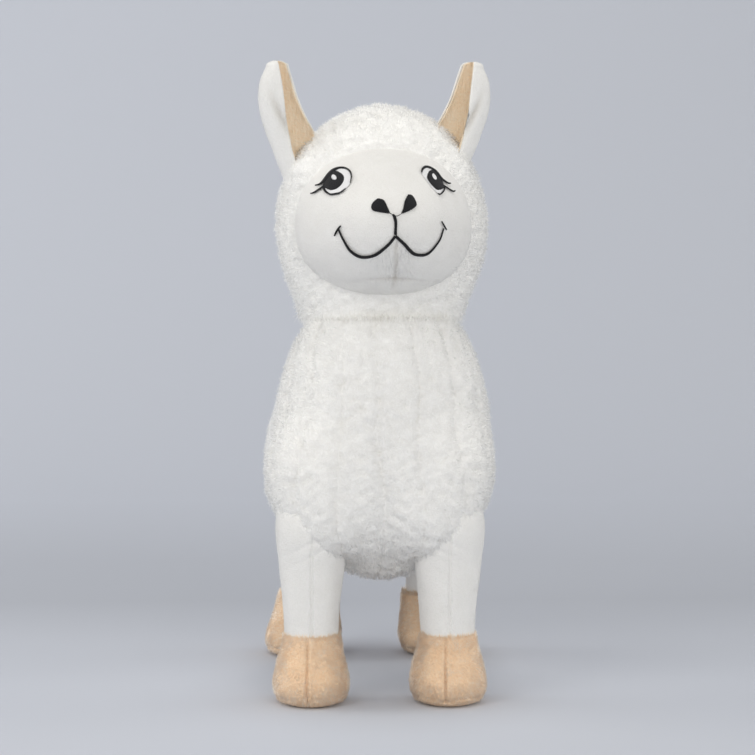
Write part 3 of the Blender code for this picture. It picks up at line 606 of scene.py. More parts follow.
def thread_finish(name, dark, light, roughness):
    """Rayon thread: its strands catch the light unevenly."""
    finish = Finish(name)
    strand = finish.noise(2600.0, 2.0)
    colour = finish.mix(strand, rgba(*dark), rgba(*light))
    finish.look(colour, strand * 0.2 + roughness, sheen=0.1)
    finish.bump(strand, 0.00008)
    return finish.material


# Meshes


def make_mesh(name, points, faces, material):
    """A piece from points and from arrays of faces, each array with its own number of corners."""
    mesh = bpy.data.meshes.new(name)
    corners = np.concatenate([array.ravel() for array in faces])
    sizes = np.concatenate([np.full(len(array), array.shape[1]) for array in faces])
    mesh.vertices.add(len(points))
    mesh.vertices.foreach_set("co", points.astype(np.float32).ravel())
    mesh.loops.add(len(corners))
    mesh.loops.foreach_set("vertex_index", corners.astype(np.int32))
    mesh.polygons.add(len(sizes))
    starts = np.concatenate([[0], np.cumsum(sizes)[:-1]])
    mesh.polygons.foreach_set("loop_start", starts.astype(np.int32))
    mesh.polygons.foreach_set("use_smooth", np.full(len(sizes), True))
    mesh.update(calc_edges=True)
    mesh.validate()
    mesh.materials.append(material)
    piece = bpy.data.objects.new(name, mesh)
    bpy.context.scene.collection.objects.link(piece)
    return piece


def carry(piece, name, values):
    """Gives each point of a piece a value that its material reads.

    The middles of two closing fans, where a piece has them, come last and get none.
    """
    values = values.ravel()
    spare = len(piece.data.vertices) - len(values)
    layer = piece.data.attributes.new(name, "FLOAT", "POINT")
    layer.data.foreach_set("value", np.append(values, np.zeros(spare)).astype(np.float32))


def ring_faces(rows, columns):
    """Faces between closed rings, and the two fans that close the first and the last ring."""
    index = np.arange(rows * columns).reshape(rows, columns)
    after = np.roll(index, -1, axis=1)
    quads = np.stack([index[:-1], after[:-1], after[1:], index[1:]], axis=-1).reshape(-1, 4)
    bottom, top = rows * columns, rows * columns + 1
    low = np.stack([after[0], index[0], np.full(columns, bottom)], axis=-1)
    high = np.stack([index[-1], after[-1], np.full(columns, top)], axis=-1)
    return [quads, np.concatenate([low, high])]


def make_rings(name, rings, material):
    """A closed piece through rings that run upwards, each anticlockwise seen from above."""
    ends = [rings[0].mean(axis=0), rings[-1].mean(axis=0)]
    points = np.concatenate([rings.reshape(-1, 3), ends])
    return make_mesh(name, points, ring_faces(*rings.shape[:2]), material)


def wear(piece, slot, *nodes):
    """The piece rides with the toy and stands for the nodes; the slot is not used."""
    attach(piece, "root")
    if nodes:
        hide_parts(*nodes)
    return piece


def strew(rings, normals, count, rng):
    """Points spread evenly over the rings' surface, with the surface's direction at each.

    A quad is drawn in proportion to its area, and the place in it by two random shares.
    """
    low, high = rings[:-1], rings[1:]
    across = np.roll(low, -1, axis=1) - low
    area = np.linalg.norm(np.cross(across, high - low), axis=-1)
    chosen = rng.choice(area.size, count, p=area.ravel() / area.sum())
    row, column = np.unravel_index(chosen, area.shape)
    beside = (column + 1) % rings.shape[1]
    u, v = rng.random((2, count, 1))
    placed = []
    for layer in (rings, normals):
        lower = layer[row, column] * (1 - u) + layer[row, beside] * u
        upper = layer[row + 1, column] * (1 - u) + layer[row + 1, beside] * u
        placed.append(lower * (1 - v) + upper * v)
    return placed[0], unit(placed[1])


def grid_normals(rings):
    """Outward directions of a surface of rings: across the columns and up the rows, crossed."""
    across = np.roll(rings, -1, axis=1) - np.roll(rings, 1, axis=1)
    return unit(np.cross(across, np.gradient(rings, axis=0)))


def drift(points, size, seed):
    """A soft random direction at each point, the same over about the given size."""
    return np.stack([clouds(points, size, seed + axis) for axis in range(3)], axis=-1)


def grow_fibres(name, roots, normals, skin, lengths, lean, upright, shade):
    """Flat fibres of the fleece, each a narrow leaf of two triangles that bends where they meet.

    A fibre leaves its root along the normal and bends over by its lean. Its flat side looks as
    far outwards as its run lets it. It takes the light mostly as the curl under it does, and for
    the rest as the smooth skin does, because loose wool scatters it.
    """
    lengths = lengths[:, None]
    lean = along_surface(lean, normals)
    low = roots - normals * 0.0008
    middle = roots + normals * lengths * upright * 0.60 + lean * lengths * 0.20
    tip = roots + normals * lengths * upright + lean * lengths * 0.75
    beside = unit(np.cross(unit(tip - low), normals)) * FIBRE_WIDTH / 2.0
    points = np.stack([low, middle + beside, middle - beside, tip], axis=1)
    index = np.arange(len(roots))[:, None] * 4
    faces = [np.concatenate([index + np.array([0, 1, 2]), index + np.array([2, 1, 3])])]
    piece = make_mesh(name, points.reshape(-1, 3), faces, fleece_fibre)
    # Painted shade at the root end of each fibre, fading out towards its tip
    carry(piece, "root", np.tile([1.0, 0.35, 0.35, 0.0], len(roots)))
    # The tone carries painted shade from the fleece's valleys as well as the fibres' own tone
    carry(piece, "tone_and_valley_shade", np.repeat(np.clip(shade, 0.0, 1.0), 4))
    facing = unit(normals * 0.72 + skin * 0.28 + lean * 0.06)
    piece.data.normals_split_custom_set_from_vertices(np.repeat(facing, 4, axis=0))
    piece.visible_shadow = False
    wear(piece, "white_fleece")


def grow_nap(name, rings, count, length, width, comb, seed, material, slot, keep=None):
    """Short plush pile above the floor: one pointed triangle a fibre, combed up or down.

    The comb is how strongly it lies upwards, and keep chooses the roots that bear a fibre.
    """
    rng = np.random.default_rng(seed)
    roots, normals = strew(rings, grid_normals(rings), count, rng)
    if keep is not None:
        chosen = keep(roots)
        roots, normals = roots[chosen], normals[chosen]
    lean = drift(roots, 0.006, seed) * 1.1 + rng.normal(size=roots.shape) * 0.45
    lean = along_surface(lean + np.array([0.0, 0.0, comb]), normals)
    long = length * rng.uniform(0.6, 1.15, (len(roots), 1))
    tip = roots + normals * long * 0.62 + lean * long * 0.55
    tip[:, 2] = np.maximum(tip[:, 2], FLOOR_CLEARANCE)
    low = roots - normals * 0.0002
    beside = unit(np.cross(unit(tip - low), normals)) * width / 2.0
    points = np.stack([low - beside, low + beside, tip], axis=1)
    corners = np.arange(len(roots) * 3).reshape(-1, 3)
    piece = make_mesh(name, points.reshape(-1, 3), [corners], material)
    # Painted shade at each nap fibre's root; the tone below varies at random in clumps
    carry(piece, "root", np.tile([1.0, 1.0, 0.0], len(roots)))
    shade = clouds(roots, 0.0014, seed + 9) * 0.55 + clouds(roots, 0.006, seed + 10) * 0.2
    shade = shade + 0.35 + rng.random(len(roots)) * 0.25
    carry(piece, "tone_and_valley_shade", np.repeat(np.clip(shade, 0.0, 1.0), 3))
    facing = unit(normals + lean * 0.35)
    piece.data.normals_split_custom_set_from_vertices(np.repeat(facing, 3, axis=0))
    piece.visible_shadow = False
    wear(piece, slot)


def fleece_height(points, seed):
    """Height of the dense pile: curls of two sizes, wider than they are tall, over a slow swell."""
    flat = points * np.array([1.0, 1.0, 1.35])
    return (
        curls(flat, CURL_SIZE, seed) * CURL_HEIGHT
        + curls(flat, CURL_SIZE * 0.55, seed + 7) * SMALL_CURL_HEIGHT
        + clouds(points, 0.018, seed + 3) * 0.0007
    )


def parting(points, middle_y):
    """Nearness to a parting, 1 on it: the upright rows repeat round the body's axis and waver."""
    around = np.arctan2(points[..., 1] - middle_y, points[..., 0]) + math.pi / 2.0
    around = around + clouds(points, 0.030, 41) * 0.035
    phase = around / ROW_ANGLE
    strength = clouds(points, 0.035, 43) * 0.3 + 0.75
    away = np.abs(phase - np.round(phase)) / PARTING_WIDTH
    return np.clip(1.0 - away, 0.0, 1.0) ** 1.5 * strength


def grow_fleece(name, body, rings, count, seed, droop, turn, keep):
    """Loose fibres of the fleece, in several pieces because of their number.

    They stand on the curls and lean together in tufts, a little downwards, and over the neck
    seam, where they are longer. A fibre is painted the lighter the higher it stands on its curl,
    so the valleys and partings get painted shade. The droop is how far they hang, and keep
    chooses the roots that bear a fibre.
    """
    rng = np.random.default_rng(seed)
    normals = grid_normals(rings)
    number = 0
    while count > 0:
        number += 1
        roots, facing = strew(rings, normals, min(count, FIBRES_A_PIECE), rng)
        count -= FIBRES_A_PIECE
        chosen = keep(roots, rng.random(len(roots)))
        roots, facing = roots[chosen], facing[chosen]
        lean = drift(roots, 0.0034, seed + 50) * 0.5 + rng.normal(size=roots.shape) * 0.75
        at_seam = ridge(roots[:, 2] - NECK_SEAM_Z, 0.0045)
        lean[:, 2] += np.sign(NECK_SEAM_Z - roots[:, 2]) * at_seam * 1.6 - droop
        lengths = FIBRE_LENGTH * rng.uniform(0.5, 1.15, len(roots)) * (1.0 + at_seam * 0.7)
        upright = rng.uniform(0.55, 1.0, (len(roots), 1))
        skin = skin_normals(roots, body)
        # Painted shade: a fibre is darker the deeper its root sits in the curls' valleys and
        # partings
        risen = (skin_distance(roots, body) + PILE_DEPTH + 0.0004) / 0.0030
        shade = risen * 1.7 - 0.3 + clouds(roots, 0.0016, 92) * 0.25
        if turn:
            roots, facing, lean = turn_head(roots), turn_head_way(facing), turn_head_way(lean)
            skin = turn_head_way(skin)
        grow_fibres(f"{name}_{number}", roots, facing, skin, lengths, lean, upright, shade)


# Body


def make_torso():
    """Torso: rings of the blended form, sunk by the pile's depth, with curls and partings.

    The top is pressed under the neck seam: heights near it are drawn down smoothly.
    """
    middle_y = TORSO[0][0][1]
    rings = ball_rings(TORSO, 300, 190, (0.064, 0.106, 0.085))
    height = fleece_height(rings, 3) - PILE_DEPTH - parting(rings, middle_y) * PARTING_DEPTH
    rings = rings + skin_normals(rings, TORSO) * height[..., None]
    ceiling = NECK_SEAM_Z - 0.0001
    softness = 0.0016
    rings[..., 2] = ceiling - softness * np.logaddexp(0.0, (ceiling - rings[..., 2]) / softness)
    ground = make_rings("torso_fleece_ground", rings, fleece_ground)
    wear(ground, "white_fleece", "torso_fleece")

    def keep(roots, chance):
        in_hood = skin_distance(roots, HOOD) <= -NECK_SEAM_INSET
        hidden = (roots[:, 2] >= NECK_SEAM_Z - 0.0012) & in_hood
        return ~hidden & (chance > parting(roots, middle_y) * 0.9)

    grow_fleece("torso_fibres", TORSO, rings, 150000, 11, 0.30, False, keep)


def make_hood():
    """Hood: neck, cheeks and crown in the same fleece, standing on the neck seam.

    The fleece swells a little round the front of each ear's foot.
    """
    rings = ball_rings(HOOD, 216, 140, (0.059, 0.041, 0.060))
    height = fleece_height(rings, 13) - PILE_DEPTH
    for _, side in SIDES:
        ear_foot = np.array([side * 0.045, -0.052, 0.299])
        height = height + ridge(np.linalg.norm(rings - ear_foot, axis=-1), 0.0085) * 0.0035
    rings = rings + skin_normals(rings, HOOD) * height[..., None]
    rings[..., 2] = np.maximum(rings[..., 2], NECK_SEAM_Z + 0.0002)
    ground = make_rings("hood_fleece_ground", turn_head(rings), fleece_ground)
    wear(ground, "white_fleece", "hood_fleece")

    def keep(roots, chance):
        in_hood = skin_distance(roots, HOOD) < -NECK_SEAM_INSET
        hidden = (roots[:, 2] < NECK_SEAM_Z + 0.0005) & in_hood
        return ~hidden & (skin_distance(roots, FACE) > chance * 0.0015 - 0.0005)

    grow_fleece("hood_fibres", HOOD, rings, 78000, 12, 0.20, True, keep)


def make_tail():
    """Tail: a leaning drop, thinner at the top, in the same fleece."""
    rings = ball_rings(TAIL, 72, 48, (0.015, 0.012, 0.027)) - TAIL[0][0]
    rings[..., :2] *= 1.0 - 0.25 * rings[..., 2:3] / 0.027
    lean = math.radians(14)
    y = rings[..., 1] * math.cos(lean) - rings[..., 2] * math.sin(lean)
    z = rings[..., 1] * math.sin(lean) + rings[..., 2] * math.cos(lean)
    rings = np.stack([rings[..., 0], y, z], axis=-1) + TAIL[0][0]
    rings = rings + grid_normals(rings) * (fleece_height(rings, 23) - PILE_DEPTH * 0.9)[..., None]
    ground = make_rings("tail_fleece_ground", rings, fleece_ground)
    wear(ground, "white_fleece", "tail_fleece")
    grow_fleece("tail_fibres", TAIL, rings, 8000, 14, 0.8, False, lambda roots, chance: chance < 2.0)


# Face


def make_face():
    """Face panel with its chin gusset: rings of the blended form, flat behind, seams sunk in.

    The chin seam drifts aside on its way down, the hem is the gusset's upper edge, and the brow
    is two shallow lines under the hood's edge.
    """
    rings = ball_rings(FACE, 216, 136, (0.0475, 0.045, 0.035))
    normals = skin_normals(rings, FACE)
    x, y, z = rings[..., 0], rings[..., 1], rings[..., 2]
    front = rise(-y - 0.085, 0.012)
    aside = x - rise(CHIN_SEAM_TOP_Z - z, 0.0245) * 0.0034
    chin = ridge(aside, 0.0010) * rise(CHIN_SEAM_TOP_Z - z, 0.004) * front
    gusset_z = GUSSET_Z - math.tan(GUSSET_SLOPE) * (y + 0.106)
    beside_chin = ridge(aside, 0.011)
    hem = ridge(z - gusset_z, 0.0009) * rise(-y - 0.070, 0.02) * (0.2 + 0.8 * beside_chin)
    puckered = beside_chin * rise(0.2600 - z, 0.006) * front
    brow = ridge(z - 0.3040, 0.0010) + ridge(z - 0.3072, 0.0008) * 0.7
    soft = clouds(rings, 0.020, 51) * 0.0004 + clouds(rings, 0.009, 52) * 0.00012
    sunk = (chin + hem) * FACE_SEAM_DEPTH + brow * 0.0004
    rings = rings + normals * (soft - sunk - 0.0002)[..., None]
    rings[..., 1] = np.minimum(rings[..., 1], FACE_BACK_Y)
    rings = turn_head(rings)
    piece = make_rings("face_plush", rings, face_plush)
    carry(piece, "puckered", puckered)
    # Painted shade in the chin seam, the gusset's hem and the brow lines
    carry(piece, "seam", np.clip(chin * 0.7 + hem * 0.6 + brow * 0.25 * front, 0.0, 1.0))
    wear(piece, "white_plush", "face_panel", "chin_gusset")

    def chin_and_cheeks(roots):
        return (roots[:, 1] < -0.062) & (clouds(roots, 0.03, 57) * 0.012 + roots[:, 2] < 0.262)

    grow_nap(
        "face_nap", rings, 30000, 0.0011, NAP_WIDTH, -0.8, 58, plush_fibre, "white_plush",
        chin_and_cheeks,
    )


def face_front(x, z, lift):
    """Points on the face at (x, z) as seen from straight in front, lifted off its skin."""
    starts = np.stack([x, np.full(x.shape, -0.075), z], axis=-1)
    rays = np.broadcast_to(np.array([0.0, -1.0, 0.0]), starts.shape)
    places = skin_along(starts, rays, FACE, 0.1)
    return places + skin_normals(places, FACE) * lift[..., None]


def sew(name, starts, ends, thread, lift, *nodes):
    """Satin stitches: half-round threads side by side on the face, from starts to ends.

    Along a stitch the thread arches over the cloth; across it the section is half an ellipse.
    """
    along = np.linspace(0.0, 1.0, 6)
    x = starts[:, None, 0] * (1 - along) + ends[:, None, 0] * along
    z = starts[:, None, 1] * (1 - along) + ends[:, None, 1] * along
    arch = lift + THREAD_CROWN * np.sin(along * math.pi) ** 0.5
    middle = face_front(x, z, np.broadcast_to(arch, x.shape))
    outwards = skin_normals(middle, FACE)
    beside = unit(np.cross(unit(np.gradient(middle, axis=1)), outwards))
    angles = np.linspace(0.0, math.pi, 5)[:, None]
    section = np.cos(angles) * beside[:, :, None] + (np.sin(angles) - 0.6) * outwards[:, :, None]
    points = turn_head(middle[:, :, None] + section * THREAD_WIDTH / 2.0)
    index = np.arange(points[..., 0].size).reshape(points.shape[:3])
    quads = [index[:, :-1, :-1], index[:, 1:, :-1], index[:, 1:, 1:], index[:, :-1, 1:]]
    quads = np.stack(quads, axis=-1).reshape(-1, 4)
    piece = make_mesh(name, points.reshape(-1, 3), [quads], thread)
    wear(piece, "white_thread" if thread is white_thread else "black_thread", *nodes)


def stitches_across(outline, slant):
    """Starts and ends of stitches that fill an outline, each across it at a slant."""
    heading = np.array([math.cos(slant), math.sin(slant)])
    sideways = np.array([-heading[1], heading[0]])
    following = np.roll(outline, -1, axis=0)
    reach = outline @ sideways
    starts, ends = [], []
    for row in np.arange(reach.min() + THREAD_STEP / 2, reach.max(), THREAD_STEP):
        first, second = reach - row, following @ sideways - row
        crossed = (first > 0) != (second > 0)
        share = first[crossed] / (first[crossed] - second[crossed])
        hits = (outline[crossed] + (following - outline)[crossed] * share[:, None]) @ heading
        if len(hits) > 1:
            starts.append(heading * hits.min() + sideways * row)
            ends.append(heading * hits.max() + sideways * row)
    return np.array(starts), np.array(ends)


def stitches_along(route, half_width):
    """Starts and ends of stitches that run across a route, close together and a little slanted."""
    steps = np.linalg.norm(np.diff(route, axis=0), axis=1)
    reach = np.concatenate([[0.0], np.cumsum(steps)])
    at = np.arange(0.0, reach[-1], THREAD_STEP)
    widths = np.interp(at, reach, half_width)[:, None]
    middle = np.stack([np.interp(at, reach, route[:, axis]) for axis in range(2)], axis=1)
    run = unit(np.gradient(middle, axis=0))
    across = np.stack([-run[:, 1], run[:, 0]], axis=1)
    reach_out = (across + run * STITCH_SLANT) * widths
    return middle - reach_out, middle + reach_out


def oval(centre_x, centre_z, half_width, half_height, tilt):
    """Points round an ellipse whose top is tilted to the left."""
    angles = np.linspace(0.0, 2.0 * math.pi, 32, endpoint=False)
    across, up = half_width * np.cos(angles), half_height * np.sin(angles)
    xs = centre_x + across * math.cos(tilt) - up * math.sin(tilt)
    return np.stack([xs, centre_z + up * math.cos(tilt) + across * math.sin(tilt)], axis=1)


def flow(points, closed=False):
    """A smooth route through control points in millimetres, in metres.

    Between two points it is a cubic, and its slope at a point is that from the point before
    to the point after.
    """
    points = np.array(points) / 1000.0
    if closed:
        stops = np.concatenate([points[-1:], points, points[:2]])
    else:
        stops = np.concatenate([points[:1], points, points[-1:]])
    before, start, end, after = stops[:-3], stops[1:-2], stops[2:-1], stops[3:]
    share = np.linspace(0.0, 1.0, 10, endpoint=False)[:, None, None]
    route = cubic(share, start, end, (end - before) / 2, (after - start) / 2)
    return route.transpose(1, 0, 2).reshape(-1, points.shape[1])


def fill(name, outline, slant, lift, thread, *nodes):
    """A shape filled with satin stitches."""
    sew(f"{name}_sewn", *stitches_across(outline, slant), thread, lift, *nodes)


def line(name, points, *nodes, lift=0.0006):
    """A line of satin stitches through control points that carry its half width."""
    route = flow(points)
    starts, ends = stitches_along(route[:, :2], route[:, 2])
    sew(f"{name}_sewn", starts, ends, black_thread, lift, *nodes)


def make_embroidery():
    """Eyes, lashes, nostrils and mouth, in satin stitch."""
    for word, side in SIDES:
        white, pupil, nostril = (
            flow(outlines[word], closed=True) for outlines in (EYE_WHITES, PUPILS, NOSTRILS)
        )
        fill(f"eye_white_{word}", white, 0.2 * side, 0.0003, white_thread, f"eye_white_{word}")
        fill(f"pupil_{word}", pupil, 0.35 * side, 0.0007, black_thread, f"eye_pupil_{word}")
        lid_nodes = (f"eyelid_upper_{word}", f"eyelash_upper_{word}")
        line(f"upper_lid_{word}", UPPER_LIDS[word], *lid_nodes, lift=0.0008)
        line(f"lower_lid_{word}", LOWER_LIDS[word], f"eyelid_lower_{word}")
        line(f"lower_lash_{word}", LOWER_LASHES[word], f"eyelash_lower_{word}")
        fill(f"nostril_{word}", nostril, 0.6 * side, 0.0004, black_thread, f"nostril_{word}")
        line(f"smile_{word}", SMILES[word], *(["smile_stitch"] if side > 0 else []))
        line(f"smile_corner_{word}", SMILE_CORNERS[word], f"smile_corner_{word}")
    for word, glint in GLINTS.items():
        fill(f"glint_{word}", oval(*glint), 0.2, 0.0013, white_thread, f"eye_glint_{word}")
    line("philtrum", PHILTRUM, "philtrum_stitch")
    line("nose_thread", NOSE_THREAD, lift=0.0003)


# Ears


def ear_rows(side, rows, columns, inset, start, end):
    """One face of the folded leaf: each level an open oval from the front rim to the rear rim.

    The start is how far the front rim is drawn back near the foot, and the end how far the
    rear rim reaches on, both as angles. The second value is the soft crease in the back.
    """
    share = np.sin(np.linspace(0.0, 1.0, rows) * math.pi / 2.0)
    fold, front, rear, depth = smooth_levels(share, EAR_LEVELS).T
    fold, front, rear = fold * EAR_FOLD_X, front * EAR_FOLD_X, rear * EAR_FOLD_X
    half = (fold - rear) / 2.0
    middle = rear + half
    first = -np.arccos(np.clip((front - middle) / half, -1.0, 1.0))
    first = first + start * rise(0.27 - share, 0.08)
    angle = first[:, None] + (EAR_REAR_RIM + end - first)[:, None] * np.linspace(0.0, 1.0, columns)
    height = share[:, None] * EAR_HEIGHT
    x = middle[:, None] + (half[:, None] + inset) * np.cos(angle)
    y = EAR_Y - EAR_LEAN * height + (depth[:, None] * EAR_HALF_DEPTH + inset) * np.sin(angle)
    across = (fold[:, None] - x) / (fold - front)[:, None]
    crease = ridge(across - 1.85 + share[:, None] * 1.9, 0.16) * (angle < 0.0)
    crease = crease * ridge(share[:, None] - 0.58, 0.15)
    x = x - crease * 0.0012 * np.cos(angle)
    y = y - crease * 0.0022 * np.sin(angle)
    z = np.broadcast_to(EAR_BASE_Z + height, x.shape)
    return np.stack([side * x, y, z], axis=-1), crease


def make_ear(word, side):
    """Back and lining of an ear: each layer's two faces joined into a closed ring at every level.

    Each layer has the offsets of its outer and inner face from the leaf, and the start and end
    of its rims. It thins to its middle at the tip and at the rims.
    """
    rows, columns = 56, 36
    taper = np.sqrt(np.clip(1.0 - np.linspace(0.0, 1.0, rows) ** 14, 0.0, 1.0))[:, None]
    rim = np.sqrt(np.clip(1.0 - np.linspace(-1.0, 1.0, columns) ** 16, 0.05, 1.0))
    for layer, outer, inner, start, end, puckered, slot, material, fibre in (
        ("back", 0.0018, 0.0002, 0.0, -0.10, 0.0, "white_plush", smooth_plush, plush_fibre),
        # Painted light: the lining is the hooves' tan plush made lighter for the shade inside the
        # fold
        ("lining", -0.0002, -0.0013, 0.8, 0.06, 0.35, "tan_plush", lining_plush_painted_light, lining_fibre_painted_light),
    ):
        name = "ear_plush" if layer == "back" else "ear_lining_plush"
        middle = (outer + inner) / 2.0
        faces = []
        for offset, order in ((outer, 1), (inner, -1)):
            inset = middle + (offset - middle) * taper * rim
            grid, crease = ear_rows(side, rows, columns, inset, start, end)
            faces.append(np.concatenate([grid, crease[..., None]], axis=-1)[:, ::order])
        rings = np.concatenate(faces, axis=1)
        if side < 0:
            rings = rings[:, ::-1]
        rings, crease = rings[..., :3], rings[..., 3]
        swell = clouds(rings, 0.010, 61) * 0.0003
        rings = turn_head(rings + grid_normals(rings) * swell[..., None])
        piece = make_rings(f"{name}_{word}", rings, material)
        # Painted shade in the soft crease of the ear
        carry(piece, "seam", crease * 0.9)
        carry(piece, "puckered", np.full(crease.size + 2, puckered))
        wear(piece, slot, f"ear_{layer}_{word}")
        grow_nap(f"{name}_nap_{word}", rings, 10000, 0.0010, NAP_WIDTH, 0.8, 62, fibre, slot)


# Legs and hooves


def oval_rings(centre_x, centre_y, z, half_width, front, back, seam, seam_turn, columns=80):
    """Level sections, half an ellipse in front and half behind, with a seam down the front.

    The columns lie four times as close at the seam, which is a groove between two low ridges,
    and small puckers run across it.
    """
    turn = np.arange(columns) / columns * 2.0 * math.pi
    around = turn - 0.75 * np.sin(turn)
    angle = around - math.pi / 2.0 - seam_turn
    ahead = np.sin(angle) < 0
    reach = np.where(ahead[None, :], front[:, None], back[:, None])
    away = np.abs(np.angle(np.exp(1j * around))) * half_width[:, None]
    groove = ridge(away, 0.0007) - 0.35 * ridge(away - 0.0018, 0.0010)
    wander = clouds(np.stack([away, away, z[:, None] + away], axis=-1), 0.004, 77)
    wrinkles = np.sin(z[:, None] * 2400.0 + wander * 3.0)
    groove = groove * seam[:, None] + wrinkles * ridge(away, 0.0032) * 0.00014
    x = np.broadcast_to(centre_x, z.shape)[:, None] + half_width[:, None] * np.cos(angle)
    y = np.broadcast_to(centre_y, z.shape)[:, None] + (reach - groove) * np.sin(angle)
    return np.stack([x, y, np.broadcast_to(z[:, None], x.shape)], axis=-1)


def make_leg(word, x, y):
    """A stuffed leg: smooth levels from ankle to top, with soft dents and a seam down the front.

    Two creases run down from its outer top to the inside. A level is its height, the leg's
    half width and half depth there, and how far forwards its middle lies.
    """
    if word.startswith("front"):
        levels = (
            (LEG_FOOT_Z, 0.0152, 0.0163, 0.0),
            (0.050, 0.0158, 0.0168, 0.0),
            (0.078, 0.0183, 0.0190, 0.0),
            (0.102, 0.0200, 0.0210, 0.0),
            (LEG_TOP_Z, 0.0182, 0.0180, 0.0),
        )
    else:
        levels = (
            (LEG_FOOT_Z, 0.0152, 0.0163, 0.0),
            (0.050, 0.0158, 0.0180, 0.001),
            (0.078, 0.0183, 0.0240, 0.004),
            (0.102, 0.0215, 0.0290, 0.010),
            (LEG_TOP_Z, 0.0160, 0.0220, 0.010),
        )
    z = np.linspace(LEG_FOOT_Z, LEG_TOP_Z, 70)
    half_width, half_depth, forward = smooth_levels(z, levels).T
    seam = np.full(len(z), LEG_SEAM_DEPTH)
    rings = oval_rings(x, y - forward, z, half_width, half_depth, half_depth, seam, 0.0)
    core = np.stack([np.full(len(z), x), y - forward, z], axis=-1)[:, None, :]
    dents = clouds(rings * np.array([1.0, 1.0, 0.4]), 0.010, 71)
    aside = np.abs(rings[..., 0])
    slope = rings[..., 2] + aside * 0.55
    creases = ridge(slope - 0.1130, 0.0016) + 0.7 * ridge(slope - 0.1055, 0.0014)
    creases = creases * rise(0.060 - aside, 0.02)
    tucked = 0.0003 * ridge(z - LEG_FOOT_Z, 0.0012)[:, None]
    height = (dents - creases) * LEG_DENT_DEPTH - tucked
    rings = rings + unit(rings - core) * height[..., None]
    piece = make_rings(f"leg_plush_{word}", rings, smooth_plush)
    wear(piece, "white_plush", f"leg_{word}")
    grow_nap(
        f"leg_nap_{word}", rings, 12000, 0.0009, NAP_WIDTH, -0.9, 75, plush_fibre, "white_plush"
    )


def make_hoof(word, x, y):
    """A hoof: smooth levels from the floor to the ankle, with its front seam and sole edge.

    A level is its height, the half width, the reach in front and behind, and the seam's depth.
    A rear hoof is wider and spreads outwards towards the floor.
    """
    wide, ankle = (1.0, 0.0157) if word.startswith("front") else (1.09, 0.0180)
    levels = (
        (0.0000, 0.0140 * wide, 0.0200, 0.0140, 0.0),
        (0.0012, 0.0172 * wide, 0.0238, 0.0172, 0.0002),
        (0.0035, 0.0196 * wide, 0.0264, 0.0192, 0.0008),
        (0.0070, 0.0207 * wide, 0.0277, 0.0202, 0.0013),
        (0.0120, 0.0210 * wide, 0.0280, 0.0205, 0.0016),
        (0.0200, 0.0196 * wide, 0.0245, 0.0194, 0.0014),
        (0.0300, 0.0020 + ankle * 0.96, 0.0190, 0.0175, 0.0010),
        (HOOF_HEIGHT, ankle, 0.0168, 0.0166, 0.0008),
    )
    z = np.concatenate([np.linspace(0.0, 0.0095, 24), np.linspace(0.0100, HOOF_HEIGHT, 44)])
    half_width, front, back, seam = smooth_levels(z, levels).T
    rings = oval_rings(x, y, z, half_width, front, back, np.maximum(seam, 0.0), HOOF_SEAM_TURN, 88)
    if word.startswith("rear"):
        rings[..., 0] += math.copysign(REAR_HOOF_SPREAD, x) * (1.0 - rings[..., 2] / HOOF_HEIGHT)
    outwards = unit((rings - np.array([x, y, 0.0])) * np.array([1.0, 1.0, 0.0]))
    seam_z = SOLE_THICKNESS + clouds(rings, 0.012, 83) * 0.0010
    worn = np.clip(clouds(rings, 0.018, 84) + 0.75, 0.15, 1.0)
    hem = ridge(rings[..., 2] - seam_z, 0.0011) * worn
    top = ridge(z - HOOF_HEIGHT, 0.0010)[:, None]
    soft = clouds(rings, 0.011, 81) * 0.0005 + clouds(rings, 0.0045, 82) * 0.0002
    flat = rise(z, 0.002)[:, None]
    rings = rings + outwards * ((soft - 0.0008 * hem - 0.0003 * top) * flat)[..., None]
    piece = make_rings(f"hoof_plush_{word}", rings, tan_plush)
    wear(piece, "tan_plush", f"hoof_{word}", f"sole_{word}")
    # The pile hangs down over the hoof, and stands up in a fringe at its rim round the ankle
    for name, count, length, width, comb, seed, low in (
        ("hoof_nap", 22000, 0.0020, 0.00046, -0.9, 85, 0.0022),
        ("hoof_rim", 36000, 0.0022, 0.00040, 2.2, 87, 0.0362),
    ):
        grow_nap(
            f"{name}_{word}", rings, count, length, width, comb, seed, tan_fibre, "tan_plush",
            lambda roots, low=low: roots[:, 2] > low,
        )


# Studio


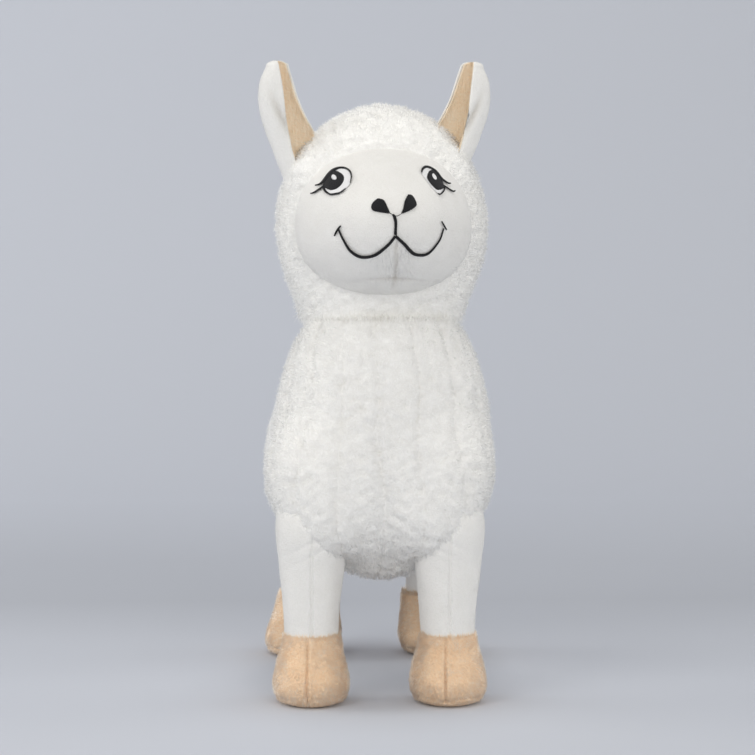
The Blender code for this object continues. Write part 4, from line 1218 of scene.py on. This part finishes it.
def make_studio():
    """Pale seamless floor and backdrop, soft light from above and in front, and the camera."""
    bend = np.linspace(0.0, math.pi / 2.0, 24)
    depth = np.concatenate([[-3.0, 0.0], 0.9 + 0.9 * np.sin(bend), [1.8]])
    height = np.concatenate([[0.0, 0.0], 0.9 - 0.9 * np.cos(bend), [4.0]])
    across = np.linspace(-3.0, 3.0, 3)
    points = np.stack(np.broadcast_arrays(across, depth[:, None], height[:, None]), axis=-1)
    index = np.arange(points[..., 0].size).reshape(points.shape[:2])
    quads = np.stack([index[:-1, :-1], index[:-1, 1:], index[1:, 1:], index[1:, :-1]], axis=-1)
    floor = make_mesh("backdrop", points.reshape(-1, 3), [quads.reshape(-1, 4)], backdrop_finish())

    world = bpy.data.worlds.new("room")
    bpy.context.scene.world = world
    world.use_nodes = True
    background = world.node_tree.nodes["Background"]
    background.inputs["Color"].default_value = rgba(1.0, 0.995, 0.985)
    background.inputs["Strength"].default_value = ROOM_LIGHT
    for name, (place, size, power) in LAMPS.items():
        lamp = bpy.data.lights.new(name, "AREA")
        lamp.shape = "DISK"
        lamp.size = size
        lamp.energy = power
        lamp.color = (1.0, 0.985, 0.96)
        holder = bpy.data.objects.new(name, lamp)
        holder.location = place
        aim = LAMP_AIM - Vector(place)
        holder.rotation_euler = aim.to_track_quat("-Z", "Y").to_euler()
        bpy.context.scene.collection.objects.link(holder)

    lens = bpy.data.cameras.new("photo_camera")
    lens.sensor_width = 36.0
    lens.lens = CAMERA_LENS
    lens.clip_start = 0.05
    camera = bpy.data.objects.new("photo_camera", lens)
    level = math.cos(CAMERA_ELEVATION)
    back = Vector(
        (
            math.sin(CAMERA_AZIMUTH) * level,
            -math.cos(CAMERA_AZIMUTH) * level,
            math.sin(CAMERA_ELEVATION),
        )
    )
    camera.location = CAMERA_AIM + back * CAMERA_DISTANCE
    camera.rotation_euler = back.to_track_quat("Z", "Y").to_euler()
    bpy.context.scene.collection.objects.link(camera)
    bpy.context.scene.camera = camera
    bpy.context.scene.view_settings.view_transform = "Standard"


# Finishes: fibres have the colours of the painted shade at the root, and of dark and light fibre;
# the others of dark and light. The ear lining's are the hooves' tan painted lighter, as painted
# light for the shade inside the fold.
fleece_fibre = fibre_finish(
    "fleece_fibre", (0.74, 0.725, 0.685), (0.72, 0.705, 0.665), (0.95, 0.95, 0.94), 0.30
)
plush_fibre = fibre_finish(
    "plush_fibre", (0.86, 0.85, 0.825), (0.86, 0.85, 0.825), (0.95, 0.945, 0.925), 0.15
)
tan_fibre = fibre_finish(
    "tan_fibre", (0.84, 0.58, 0.37), (0.86, 0.60, 0.39), (1.0, 0.91, 0.80), 0.2
)
# Painted light: the ear lining's tan is lighter than the hooves' to make up for the fold's shade
lining_fibre_painted_light = fibre_finish(
    "lining_fibre_painted_light", (0.96, 0.78, 0.57), (0.96, 0.78, 0.57), (1.0, 0.91, 0.76), 0.2
)
fleece_ground = fleece_ground_finish()
face_plush = plush_finish(
    "face_plush", (0.86, 0.845, 0.81), (0.935, 0.925, 0.895), 1300.0, 0.0009
)
smooth_plush = plush_finish(
    "smooth_plush", (0.87, 0.86, 0.825), (0.95, 0.94, 0.915), 1100.0, 0.0009
)
tan_plush = plush_finish("tan_plush", (0.82, 0.56, 0.35), (0.96, 0.76, 0.55), 800.0, 0.0014)
lining_plush_painted_light = plush_finish("lining_plush_painted_light", (0.96, 0.76, 0.54), (1.0, 0.90, 0.74), 900.0, 0.0010)
black_thread = thread_finish("black_thread", (0.004, 0.004, 0.005), (0.016, 0.016, 0.019), 0.6)
white_thread = thread_finish("white_thread", (0.80, 0.80, 0.80), (0.90, 0.90, 0.90), 0.5)

make_torso()
make_tail()
make_hood()
make_face()
make_embroidery()
for word, side in SIDES:
    make_ear(word, side)
for word, x, y in LEG_PLACES:
    make_leg(word, x, y)
    make_hoof(word, x, y)
make_studio()
